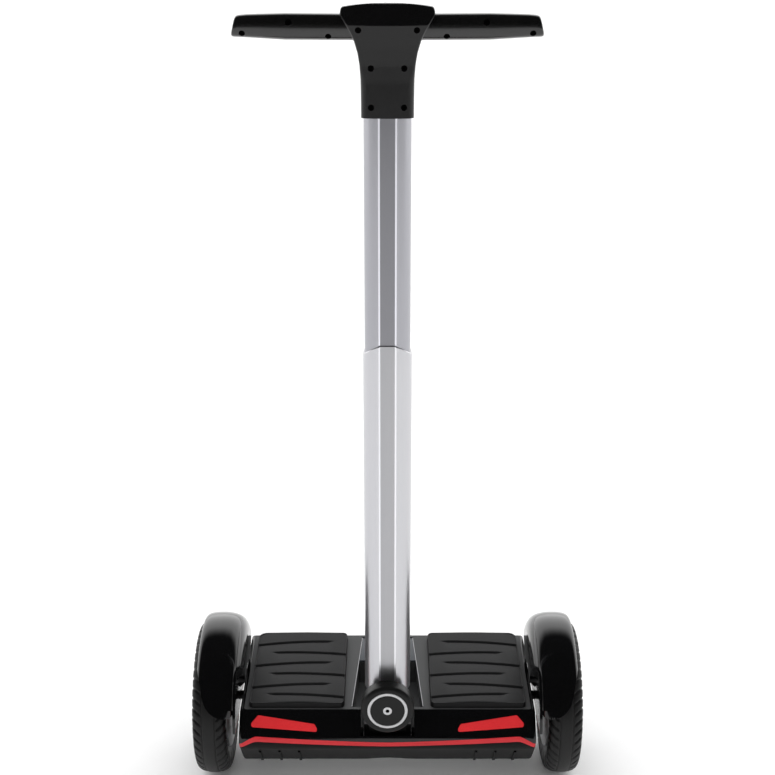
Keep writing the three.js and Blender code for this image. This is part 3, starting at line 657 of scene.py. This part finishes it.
def spaced(low, high, step):
    """Places from low to high: a fixed step, and closer together over the rounded ends."""
    edge = [0, 0.12, 0.5, 1.1, 2.0, 3.0, 4.2, 5.6]
    margin = 7
    length = high - low - 2 * margin
    count = round(length / step)
    inner = [low + margin + length * i / count for i in range(count + 1)]
    return [low + e for e in edge] + inner + [high - e for e in reversed(edge)]


def mat(name, side):
    xs, ys = spaced(MAT_IN, MAT_OUT, 2.6), spaced(MAT_FRONT, MAT_REAR, 0.62)
    round_over = 3.4
    tops = []
    for y in ys:
        row = []
        for x in xs:
            corner = MAT_OUTER_CORNER if x > 150 and y > 0 else MAT_CORNER
            cx = min(max(x, MAT_IN + corner), MAT_OUT - corner)
            cy = min(max(y, MAT_FRONT + corner), MAT_REAR - corner)
            away = math.hypot(x - cx, y - cy)
            px, py = x, y
            if away > corner:
                px, py = cx + (x - cx) * corner / away, cy + (y - cy) * corner / away
                away = corner
            inside = min(x - MAT_IN, MAT_OUT - x, y - MAT_FRONT, MAT_REAR - y)
            if cx != x and cy != y:
                inside = corner - away
            fall = 0.0
            if inside < round_over:
                fall = round_over - math.sqrt(max(0, round_over ** 2 - (round_over - inside) ** 2))
            z = MAT_TOP - min(MAT_TOP - DECK_Z - 0.5, fall + mat_relief(px, py) * ease(inside / 3 + 0.2))
            row.append((side * px, py, z))
        tops.append(row)
    wide, tall = len(xs), len(ys)
    verts = [p for row in tops for p in row]
    faces = []
    for j in range(tall - 1):
        for i in range(wide - 1):
            a = j * wide + i
            faces.append((a, a + 1, a + 1 + wide, a + wide))
    rim = [j * wide for j in range(tall - 1, 0, -1)] + list(range(wide - 1))
    rim += [j * wide + wide - 1 for j in range(tall - 1)]
    rim += [(tall - 1) * wide + i for i in range(wide - 1, 0, -1)]
    start = len(verts)
    for v in rim:
        verts.append((verts[v][0], verts[v][1], MAT_BASE + 0.01))
    for i in range(len(rim)):
        j = (i + 1) % len(rim)
        faces.append((rim[i], rim[j], start + j, start + i))
    faces.append(tuple(range(start, len(verts))))
    return mesh_object(name, verts, faces)


for word, side in SIDES:
    piece(mat(f"mat_top_{word}", side), f"mat_{word}", "mat_rubber", [f"foot_mat_{word}"], angle=50)

# ------------------------------------------------------------- fenders
fender_skin = [
    (309.5, 126), (309, 130.5), (307, 134.6), (303, 137.4), (296, 139.2), (286, FENDER_R), (274, 139.8),
    (264, 138.4), (256.5, 135), (252, 130), (250, 123),
]
tongue_line = [
    (311, 236), (302, 216), (297, 197), (289, 184), (278, 175.5), (264, 171), (240, 170),
]
FENDER_END = math.radians(15)

# Section of the inner shoulder as (x, radius): the outer skin upwards, then the inner one back down.
shoulder_skin = [
    (236.4, 60), (236.4, 104), (237.4, 113), (239.8, 120.5), (243.6, 127), (248.6, 132.2), (254.6, 135.6),
    (260, 137.5), (266, 138.7), (270, 138.9), (270, 137.5), (262, 135.9), (256, 133), (252.4, 129),
    (251, 124), (250.7, 60),
]
SHOULDER_FRONT, SHOULDER_REAR, SHOULDER_PLANE = -104.0, 118.0, 249.3


def fender_shoulder(side, about):
    """The blend from the arch's crown down to the deck, which fades out at its front and rear."""
    skin = [tuple(p) for p in curve_through(shoulder_skin, 4)]
    rings = []
    first, last = math.radians(-66), math.radians(66)
    for i in range(97):
        turn = first + (last - first) * i / 96
        y = 135 * math.sin(turn)
        bulge = ease((y - SHOULDER_FRONT) / 32) * ease((SHOULDER_REAR - y) / 22)
        ring = []
        for x, r in skin:
            moved = x if x > SHOULDER_PLANE else SHOULDER_PLANE - (SHOULDER_PLANE - x) * bulge
            ring.append((side * moved, r * math.sin(turn), r * math.cos(turn)))
        rings.append(ring)
    made = loft("shoulder", rings, about)
    low, high = sorted((200 * side, 340 * side))
    return keep(made, block("above", low, high, -200, 200, DECK_Z + GAP, 300))


def fender(side):
    skin = [tuple(p) for p in curve_through(fender_skin, 6)]
    skin = [(min(x, 309.5), min(r, FENDER_R)) for x, r in skin]
    under = inset(skin + [(280, 100)], 2.6)[:-1]
    under[0] = (skin[0][0] - 2.6, skin[0][1])
    under[-1] = (skin[-1][0] + 2.6, skin[-1][1])
    profile = [(r, side * x) for x, r in skin + under[::-1]]
    about = TO_METRES @ Matrix.Translation((0, 0, AXLE_Z))
    arch = lathe("arch", profile, "X", about, 160)
    reach = 300
    wedge = [
        (0, AXLE_Z - 20), (reach * math.cos(FENDER_END), AXLE_Z + reach * math.sin(FENDER_END)),
        (reach, AXLE_Z + reach), (-reach, AXLE_Z + reach),
        (-reach * math.cos(FENDER_END), AXLE_Z + reach * math.sin(FENDER_END)),
    ]
    low, high = sorted((200 * side, 340 * side))
    keep(arch, prism("wedge", wedge, low, high, "X"))
    line = [tuple(p) for p in curve_through(tongue_line, 6)]
    line = [(330, 236)] + line + [(240, 140), (330, 140)]
    cut(arch, prism("tongue", line if side > 0 else mirrored(line), -160, 160, "Y"))
    shoulder = fender_shoulder(side, about)
    inner, outer = side * 245.5, side * 250.2
    disc = lathe("disc", [(0, inner), (130, inner), (130, outer), (0, outer)], "X", about, 160)
    keep(disc, block("above", low, high, -200, 200, 141, 300))
    join(arch, disc)
    join(arch, shoulder)
    return arch


for word, side in SIDES:
    guard = fender(side)
    guard.name = f"guard_{word}"
    piece(guard, "base", "gloss_black_shell", [f"fender_{word}"], edge=1.3, angle=32)

# ------------------------------------------------------------- wheels
tyre_half = [
    (82.5, 19), (88, 19.5), (93, 24), (104, TYRE_HALF), (117, 26), (123.5, 19.5), (126.4, 9), (TYRE_R, 0),
]
BLOCKS, STEPS = 46, 16
TREAD_DOWN, WALL_DOWN = 2.6, 1.1


def tread(turn, across, r):
    """How far the tyre's skin is sunk at an angle, a place across and a radius."""
    at = abs(across)
    hand = 1 if across > 0 else -1
    phase = (turn * BLOCKS / (2 * math.pi) + 0.25 * hand + (at - 18) * 0.045) % 1
    groove = ease(1 - abs(phase - 0.5) / 0.2)
    sunk = 0.0
    if r > 104 and at > 11:
        sunk = TREAD_DOWN * groove * ease((at - 11) / 4) * ease((r - 104) / 8)
    if 9.4 < at < 11.2 and r > 118:
        sunk = max(sunk, 1.3 * ease(1 - abs(at - 10.3) / 0.9))
    if 92 < r < 117 and at > 18:
        lean = (turn * BLOCKS / (4 * math.pi) + (r - 92) * 0.034) % 1
        ends = ease((r - 93) / 4) * ease((117 - r) / 5)
        sunk = max(sunk, WALL_DOWN * ease(1 - abs(lean - 0.5) / 0.16) * ends)
    return sunk


def tyre(name, place):
    line = curve_through(tyre_half, 7)
    line = [(min(p.x, TYRE_R), min(p.y, TYRE_HALF)) for p in line]
    line += [(r, -x) for r, x in line[-2::-1]]
    count, turns = len(line), BLOCKS * STEPS
    verts, faces = [], []
    normals = []
    for i in range(count):
        a, b = Vector(line[max(0, i - 1)]), Vector(line[min(count - 1, i + 1)])
        along_line = (b - a).normalized()
        normals.append(Vector((-along_line.y, along_line.x)) * -1)
    for s in range(turns):
        turn = 2 * math.pi * s / turns
        for (r, x), normal in zip(line, normals):
            sunk = tread(turn, x, r)
            if normal.x * (r - 90) + normal.y * x < 0:
                normal = -normal
            rr, xx = r - normal.x * sunk, x - normal.y * sunk
            verts.append((xx, rr * math.cos(turn), rr * math.sin(turn)))
    for s in range(turns):
        for i in range(count):
            a, b = s * count + i, s * count + (i + 1) % count
            faces.append((a, b, (b + count) % len(verts), (a + count) % len(verts)))
    return mesh_object(name, verts, faces, place)


hub_profile = [
    (17.8, 12), (17.8, 18), (0, 18), (0, 23.5), (9, 23.5), (11, 22.4), (20, 22.0), (30, 21.2),
    (46, 20.9), (60, 20.9), (66, 21.4), (71, 23.0), (74, 23.5), (82, 23.5), (82, -23), (76, -23),
    (76, 16), (26, 16), (26, 12),
]
cover_profile = [
    (17.8, -28), (30, -28), (34, -27.3), (50, -27.3), (54, -28), (70, -28), (84, -26), (84, -23.4),
    (75.6, -23.4), (75.6, -19.5), (17.8, -19.5),
]
for word, side in SIDES:
    place = wheel_frame(side)
    body = f"wheel_{word}"
    piece(tyre(f"tread_{word}", place), body, "tyre_rubber", [f"tyre_{word}"], angle=60)
    face = lathe(f"wheel_face_{word}", hub_profile, "X", place, 128)
    for i in range(6):
        turn = math.pi * i / 3
        at = (46 * math.cos(turn), 46 * math.sin(turn))
        cut(face, rod("dimple", 8.5, 19.4, 40, "X", place, at, 40))
    piece(face, body, "hub_metal", [f"hub_shell_{word}"], edge=0.7)
    back = lathe(f"wheel_back_{word}", cover_profile, "X", place, 128)
    bolts = []
    for i in range(8):
        turn = math.pi * (i + 0.5) / 4
        bolts.append(rod("bolt", 3.1, -28, -26.9, "X", place, (62 * math.cos(turn), 62 * math.sin(turn)), 6))
    cut(back, *bolts)
    piece(back, body, "hub_metal", [f"hub_cover_{word}"], edge=0.6)


def paint_tube_light_and_shade(made, band, flank):
    """Paints light and shade into a tube's colour across its width: painted shade on the flat groove, a
    bright painted highlight along each groove edge, then the flank, shaded a little darker towards the sides.
    """
    nodes, links = made.node_tree.nodes, made.node_tree.links
    shader = nodes["Principled BSDF"]
    paint = shader.inputs["Base Color"].links[0].from_socket
    place = nodes.new("ShaderNodeTexCoord")
    split = nodes.new("ShaderNodeSeparateXYZ")
    links.new(place.outputs["Object"], split.inputs["Vector"])
    away = nodes.new("ShaderNodeMath")
    away.operation = "ABSOLUTE"
    links.new(split.outputs["X"], away.inputs[0])
    across = nodes.new("ShaderNodeMapRange")
    across.inputs["From Max"].default_value = TUBE_HALF_X / 1000
    links.new(away.outputs[0], across.inputs["Value"])
    ramp = nodes.new("ShaderNodeValToRGB")
    edge = GROOVE_HALF / TUBE_HALF_X
    # Painted shade and highlight levels across the width: groove shade, bright edge highlight, then the
    # flank.
    stops = (
        (0, band), (edge, band), (edge + 0.015, 1.0), (edge + 0.06, 1.0), (edge + 0.09, flank),
        (1, flank * 0.92),
    )
    while len(ramp.color_ramp.elements) < len(stops):
        ramp.color_ramp.elements.new(0.5)
    for element, (at, shade) in zip(ramp.color_ramp.elements, stops):
        element.position = at
        element.color = (shade, shade, shade, 1)
    links.new(across.outputs["Result"], ramp.inputs["Fac"])
    painted_shading = nodes.new("ShaderNodeMix")
    painted_shading.data_type = "RGBA"
    painted_shading.blend_type = "MULTIPLY"
    painted_shading.inputs["Factor"].default_value = 1.0
    links.new(paint, painted_shading.inputs["A"])
    links.new(ramp.outputs["Color"], painted_shading.inputs["B"])
    links.new(painted_shading.outputs["Result"], shader.inputs["Base Color"])


# Both tubes get painted light and shade across their width, at lower levels on the inner tube.
paint_tube_light_and_shade(LOOKS["anodised_silver"], 0.47, 0.68)
paint_tube_light_and_shade(LOOKS["inner_silver"], 0.3, 0.5)

# ------------------------------------------------------------- steering boss, in the pole's frame
BEARING_BORE_R, SHAFT_HOLE_R = 19.3, 13


def underside(y):
    """Where the housing stands on the chassis, in the leaning frame."""
    lean = math.radians(LEAN_DEG)
    return (102 + GAP - PIVOT_Z + y * math.sin(lean)) / math.cos(lean)


front_cheek = rod("cheek", BOSS_R - 0.5, -49.5, -36, "Y", POLE, segments=96)
housing = join(
    rod("rear_cheek", 30, 32, 46, "Y", POLE, segments=72),
    block("web", -30, 30, 32, 46, -60, 0, POLE),
    prism("front_web", [(-41, -30), (-25, -30), (-25, -60), (-32, -60)], -30, 30, "X", 0, POLE),
    prism("base", [(-25, underside(-25)), (46, underside(46)), (46, -47), (-25, -47)], -38, 38, "X", 0, POLE),
)
cut(housing, rod("room", 43, -35.6, 31.2, "Y", POLE, segments=96))
join(housing, front_cheek)
cut(housing, block("pocket", -28, 28, -12, 12, -70, -40, POLE))
cut(housing, rod("bore", BEARING_BORE_R, -60, -38.5, "Y", POLE))
cut(housing, rod("bore", BEARING_BORE_R, 34.5, 60, "Y", POLE))
cut(housing, rod("shaft", SHAFT_HOLE_R, -60, 60, "Y", POLE))
piece(housing, "base", "black_fitting", ["pivot_housing"], edge=0.8)

dome = [
    (0, -60), (27.2, -60), (27.2, -58.3), (32.3, -58.3), (32.3, -59.8), (36, -59.4), (38.6, -58.7),
    (40.7, -57.5), (42, -56), (BOSS_R, -54), (BOSS_R, -50.6), (41.9, -49.8), (0, -49.8),
]
piece(lathe("boss_face", dome, "Y", POLE, 128), "base", "black_fitting", ["boss_cap"], angle=24)
bezel = [
    (CAP_RING_IN, -58.6), (CAP_RING_IN, -59.8), (28.0, -60.2), (31.5, -60.2), (CAP_RING_OUT, -59.8),
    (CAP_RING_OUT, -58.6),
]
piece(lathe("bezel", bezel, "Y", POLE, 128), "base", "silver_trim", ["cap_ring"], angle=24)
bolt = rod("bolt_head", 7.0, -60.16, -60.01, "Y", POLE, segments=64)
piece(bolt, "base", "silver_trim")
# A thin black hexagon laid on the bolt head: painted shade where a hex socket would be sunk.
socket = rod("bolt_socket_painted_shade", 3.4, -60.19, -60.165, "Y", POLE, segments=6)
piece(socket, "base", "black_fitting", look="screw_black_painted_shade")

hub = rod("knuckle", 40, -34, 29.5, "Y", POLE, segments=96)
keep(hub, block("above", -50, 50, -50, 50, -50, TUBE_FOOT - GAP, POLE))

TUBE_POWER = 2.6


def tube_outline(steps=18):
    """An oval with a shallow flat groove down its front and back."""
    quarter = []
    lip = TUBE_HALF_Y * (1 - (GROOVE_HALF / TUBE_HALF_X) ** TUBE_POWER) ** (1 / TUBE_POWER)
    last = math.radians(62)
    for s in range(steps):
        angle = last * s / (steps - 1)
        x = TUBE_HALF_X * math.cos(angle) ** (2 / TUBE_POWER)
        y = TUBE_HALF_Y * math.sin(angle) ** (2 / TUBE_POWER)
        if x > GROOVE_HALF + 4:
            quarter.append((x, y))
    quarter += [
        (GROOVE_HALF + 3.0, lip - 0.05),
        (GROOVE_HALF + 2.3, lip - 0.3),
        (GROOVE_HALF + 0.5, lip - GROOVE_DEEP + 0.3),
        (GROOVE_HALF - 0.2, lip - GROOVE_DEEP),
    ]
    half = quarter + [(-x, y) for x, y in reversed(quarter)]
    back = [(x, -y) for x, y in reversed(half[1:-1])]
    return half + back


TUBE = tube_outline()
join(
    hub,
    block("tab", -5, 5, -9, 9, -62, -30, POLE),
    prism("spigot", inset(TUBE, TUBE_WALL + GAP), 0, 110, "Z", 0, POLE),
    rod("journal", 10, -49, 45.5, "Y", POLE),
)
piece(hub, "column", "frame_casting", ["steer_knuckle"], edge=0.7)


def rim_height(x):
    return RIM_TOP - RIM_ARCH_R + math.sqrt(RIM_ARCH_R ** 2 - min(40, abs(x)) ** 2)


def tube_skin(name, outer, inner, low, high, arched, body, node, look):
    lip = 0.35
    levels = [(outer + lip, low, 0), (outer, low + lip, 0), (outer, high - 60, 0)]
    levels += [(outer, high - lip, 1), (outer + lip, high, 1), (inner - lip, high, 1), (inner, high - lip, 1)]
    levels += [(inner, high - 60, 0), (inner, low + lip, 0), (inner - lip, low, 0)]
    rings = []
    for shrink, z, at_rim in levels:
        ring = []
        for x, y in inset(TUBE, shrink):
            lift = rim_height(x) - RIM_TOP if arched and at_rim else 0
            ring.append((x, y, z + lift))
        rings.append(ring)
    rings.append(rings[0])
    tube = loft(name, rings, POLE, caps=False)
    piece(tube, body, "anodised_silver", [node], look=look, angle=30)


tube_skin("pole_outer", 0, TUBE_WALL, TUBE_FOOT, RIM_TOP, True, "column", "outer_tube", "anodised_silver")
tube_skin(
    "pole_inner", TUBE_WALL + TUBE_FIT, 2 * TUBE_WALL + TUBE_FIT, INNER_FOOT, STEM_FOOT + 62, False, "head",
    "inner_tube", "inner_silver",
)

# ------------------------------------------------------------- handle head
BAR_ROOM_R = 9.3
head_half = [
    (36.8, STEM_FOOT), (36.9, 960), (37.2, 985), (38.5, 1004), (41, 1020), (45.5, 1036), (51, 1048),
    (58, 1060), (64.2, 1070.5), (64.5, 1073), (64.2, 1076), (62.9, 1080), (61, 1081.4), (50, 1083.2),
    (36, 1084.7), (20, 1085.7), (1.5, HEAD_TOP),
]
head_nose = [
    (-31, STEM_FOOT), (-31.2, 980), (-32, 1004), (-35, 1028), (-39, 1045), (-41.4, 1055), (-42, 1057.2),
    (-41.3, 1060.2), (-38, 1066.4), (-32.4, 1074.6), (-26.4, 1082.8), (-25.2, 1084.2), (-23.4, 1085.3),
    (-18.5, HEAD_TOP),
]
head_rear = [
    (31, STEM_FOOT), (31, 990), (34, 1012), (39, 1027), (43.6, 1037), (43.4, 1041), (41, 1043.2),
    (-16.5, 1085.6), (-18, HEAD_TOP),
]


def at_height(line, z):
    """How far a side line of the head lies from the middle at a height."""
    return along([(height, away) for away, height in line], z)


def head_ring(z, shrink=0.0, steps=12):
    """The head's outline at a height, with extra points along its four flats."""
    wide = at_height(head_half, z) - shrink
    front = at_height(head_nose, z) + shrink
    rear = at_height(head_rear, z) - shrink
    corner = min(14 - 5 * ease((z - 990) / 60), wide * 0.95, (rear - front) * 0.46)
    nose = min(corner, 9 - 5.5 * ease((z - 965) / 45))
    corners = [(wide, front, nose), (wide, rear, corner), (-wide, rear, corner), (-wide, front, nose)]
    ring = []
    outline = rounded(corners, steps)
    for i, here in enumerate(outline):
        ring.append((*here, z))
        if i % (steps + 1) == steps:
            on = outline[(i + 1) % len(outline)]
            for s in range(1, 12):
                ring.append((here[0] + (on[0] - here[0]) * s / 12, here[1] + (on[1] - here[1]) * s / 12, z))
    curved = 3.0 * ease((1078 - z) / 30)
    return [(x, y + curved * (x / wide) ** 2 if y < (front + rear) / 2 else y, z) for x, y, z in ring]


def head_solid(name, shrink=0.0):
    top = HEAD_TOP - 0.1 - shrink
    levels = [STEM_FOOT + shrink + (1030 - STEM_FOOT) * i / 30 for i in range(30)]
    levels += [1030 + shrink + (top - 8 - 1030 - shrink) * i / 34 for i in range(34)]
    levels += [top - 8 + 8 * math.sin(math.pi / 2 * i / 14) for i in range(15)]
    return loft(name, [head_ring(z, shrink) for z in levels], POLE)


def head_inside():
    room_outline = inset(TUBE, TUBE_WALL + TUBE_FIT - GAP)
    tube_room = prism("room", room_outline, STEM_FOOT - 5, STEM_FOOT + 62.5, "Z", 0, POLE)
    bar_room = rod("bar", BAR_ROOM_R, -90, 90, "X", POLE, (0, GRIP_Z))
    return join(head_solid("inside", 3.0), tube_room, bar_room)


HEAD_SCREWS = ((39.7, 1051), (22.8, 1000), (22.8, 947))
GRIP_SCREWS = ((199, 1045), (135, 1060), (81, 1041))

front_shell = keep(head_solid("head_front"), block("front", -90, 90, -60, HEAD_SPLIT, 900, 1100, POLE))
rear_shell = keep(head_solid("head_rear"), block("rear", -90, 90, HEAD_SPLIT + GAP, 60, 900, 1100, POLE))
cut(front_shell, head_inside())
cut(rear_shell, head_inside())
cut(rear_shell, block("window", -33.3, 33.3, -16.3, 11.3, -20, 20, FACE))
for x in BUTTON_AT:
    cut(rear_shell, rod("key_hole", BUTTON_R + 0.5, -20, 20, "Z", FACE, (x, BUTTON_Y)))


def screw(x, z, surface_y, slope, body):
    """Makes a cross-headed screw on a leaning front face, and returns the tool for its recess."""
    place = POLE @ Matrix.Translation((x, surface_y, z)) @ Matrix.Rotation(slope, 4, "X")
    head = lathe("screw", [(0, 0.7), (3.8, 0.7), (4.1, 1.0), (4.1, 2.9), (0, 2.9)], "Y", place, 32)
    cross = [
        block("slot", -1.7, 1.7, 0.4, 1.6, -0.4, 0.4, place),
        block("slot", -0.4, 0.4, 0.4, 1.6, -1.7, 1.7, place),
    ]
    cut(head, *cross)
    # The screw head takes the near-black finish that carries painted shade.
    piece(head, body, "black_fitting", look="screw_black_painted_shade", angle=30)
    return rod("recess", 4.4, -6, 2.6, "Y", place, segments=40)


for x, z in HEAD_SCREWS:
    nose = at_height(head_nose, z)
    slope = -math.atan2(at_height(head_nose, z + 5) - nose, 5)
    for side in (1, -1):
        cut(front_shell, screw(side * x, z, nose, slope, "head"))
piece(front_shell, "head", "handle_shell", ["handle_front_shell"], edge=0.5, angle=30)
piece(rear_shell, "head", "handle_shell", ["handle_rear_shell"], edge=0.5, angle=30)

panel = block("panel", -33, 33, -16, 11, -4, -0.6, FACE)
piece(panel, "head", "display_glass", ["display_panel"], edge=0.5)
for x, name, body in zip(BUTTON_AT, ("horn", "power", "mode"), ("horn_key", "power_key", "mode_key")):
    profile = [
        (0, -5), (BUTTON_R, -5), (BUTTON_R, 0.9), (BUTTON_R - 0.25, 1.3), (BUTTON_R - 0.8, 1.6),
        (3.4, 1.5), (0, 1.35),
    ]
    place = FACE @ Matrix.Translation((x, BUTTON_Y, 0))
    piece(lathe(f"{name}_face", profile, "Z", place, 64), body, "button_rubber", [f"{name}_button"], angle=40)

# ------------------------------------------------------------- grips
grip_table = [
    (40, 19.0, 19.0, 0.3), (52, 18, 18.5, 0.0), (66, 18, 18, 0), (140, 18, 17.5, 0.5), (200, 15.5, 15.5, 1.5),
    (210, 14.9, 15.0, 1.3), (GRIP_END - 2.2, 14.4, 14.6, 1.2), (GRIP_END - 0.9, 13.6, 13.9, 1.2),
    (GRIP_END - 0.3, 12.5, 12.9, 1.2),
]


def grip_value(x, column):
    return along([(row[0], row[column]) for row in grip_table], x)


def grip(side):
    places = [44 + (GRIP_END - 2.2 - 44) * i / 60 for i in range(61)]
    places += [GRIP_END - 1.5, GRIP_END - 0.9, GRIP_END - 0.3]
    rings = []
    for x in places:
        high, deep, up = (grip_value(x, column) for column in (1, 2, 3))
        ring = []
        for i in range(72):
            angle = 2 * math.pi * i / 72
            c, s = math.cos(angle), math.sin(angle)
            y = deep * math.copysign(abs(c) ** 0.82, c)
            z = high * math.copysign(abs(s) ** 0.82, s)
            slant = -0.24 * (z + high) * ease((x - 170) / 40)
            ring.append((side * (x + slant), y, GRIP_Z + up + z))
        rings.append(ring)
    bar = loft("grip", rings, POLE)
    low, high = sorted((0, 181 * side))
    cut(bar, rod("bore", BAR_ROOM_R, low, high, "X", POLE, (0, GRIP_Z)))
    cut(bar, head_solid("gap", -GAP))
    return bar


for word, side in SIDES:
    bar = grip(side)
    bar.name = f"bar_{word}"
    for x, z in GRIP_SCREWS:
        lift = z - GRIP_Z - grip_value(x, 3)
        reach = grip_value(x, 2) * max(0.2, 1 - (abs(lift) / grip_value(x, 1)) ** 2.4) ** (1 / 2.4)
        cut(bar, screw(side * x, z, -reach, -0.6 * lift / 18, "head"))
    piece(bar, "head", "grip_rubber", [f"grip_{word}"], edge=0.35, angle=40)

# ------------------------------------------------------------- CAD nodes that show as they are
KEPT = {
    "chassis_frame": "frame_casting", "battery_pack": "battery_wrap", "controller_board": "circuit_board",
    "charge_socket": "black_fitting", "charge_flap": "flap_rubber", "handlebar_core": "steel",
    "pivot_bearing_front": "steel", "pivot_bearing_rear": "steel",
    "centring_buffer_left": "flap_rubber", "centring_buffer_right": "flap_rubber",
    "lock_housing": "black_fitting", "lock_lever": "black_fitting",
}
for word, _ in SIDES:
    KEPT[f"foot_sensor_{word}"] = "circuit_board"
    KEPT[f"axle_clamp_{word}"] = "frame_casting"
    KEPT[f"magnet_ring_{word}"] = "steel"
    KEPT[f"bearing_outer_{word}"] = "steel"
    KEPT[f"bearing_inner_{word}"] = "black_fitting"
    KEPT[f"stator_{word}"] = "stator_winding"
    KEPT[f"axle_{word}"] = "black_fitting"
for name, slot_name in KEPT.items():
    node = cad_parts[name]
    node.data.materials.clear()
    node.data.materials.append(LOOKS[slot_name])
    step = node.modifiers.new("edges", "BEVEL")
    step.width = 0.0006
    step.segments = 2
    step.limit_method = "ANGLE"
    step.angle_limit = math.radians(35)

# ------------------------------------------------------------- stage, camera and light
floor_mesh = bpy.data.meshes.new("floor")
floor_make = bmesh.new()
bmesh.ops.create_grid(floor_make, x_segments=2, y_segments=2, size=14)
floor_make.to_mesh(floor_mesh)
floor_make.free()
floor = bpy.data.objects.new("floor", floor_mesh)
bpy.context.collection.objects.link(floor)
floor.location = (0, 0, -0.0004)
floor_mesh.materials.append(surface("pale_floor", (0.97, 0.97, 0.97), 0.8, vary=0.01, bump=0.0, grain=40))

world = bpy.data.worlds.new("studio")
bpy.context.scene.world = world
world.use_nodes = True
wn, wl = world.node_tree.nodes, world.node_tree.links
backdrop = wn["Background"]
backdrop.inputs["Color"].default_value = (1, 1, 1, 1)
look_at = wn.new("ShaderNodeTexCoord")
facing = wn.new("ShaderNodeVectorMath")
facing.operation = "DOT_PRODUCT"
facing.inputs[1].default_value = Vector((0, -0.6, 0.8))
wl.new(look_at.outputs["Generated"], facing.inputs[0])
sky = wn.new("ShaderNodeMapRange")
sky.interpolation_type = "SMOOTHSTEP"
sky.inputs["From Min"].default_value = -0.02
sky.inputs["From Max"].default_value = 0.38
sky.inputs["To Min"].default_value = 1.9
sky.inputs["To Max"].default_value = 0.015
wl.new(facing.outputs["Value"], sky.inputs["Value"])
wl.new(sky.outputs["Result"], backdrop.inputs["Strength"])

CAMERA_BACK, CAMERA_UP, CAMERA_DOWN_DEG = 1.9567, 1.4967, 22.32
camera_data = bpy.data.cameras.new("camera")
camera_data.lens = 63.45
camera_data.sensor_width = 36
camera = bpy.data.objects.new("camera", camera_data)
camera.location = (0, AXLE_Y - CAMERA_BACK, CAMERA_UP)
camera.rotation_euler = (math.radians(90 - CAMERA_DOWN_DEG), 0, 0)
bpy.context.collection.objects.link(camera)
bpy.context.scene.camera = camera
bpy.context.scene.view_settings.view_transform = "Standard"

overhead = bpy.data.lights.new("overhead", "SUN")
overhead.energy = 2.6
overhead.angle = math.radians(120)
overhead_lamp = bpy.data.objects.new("overhead", overhead)
overhead_lamp.location = (0, 0, 3)
overhead_lamp.visible_glossy = False
bpy.context.collection.objects.link(overhead_lamp)
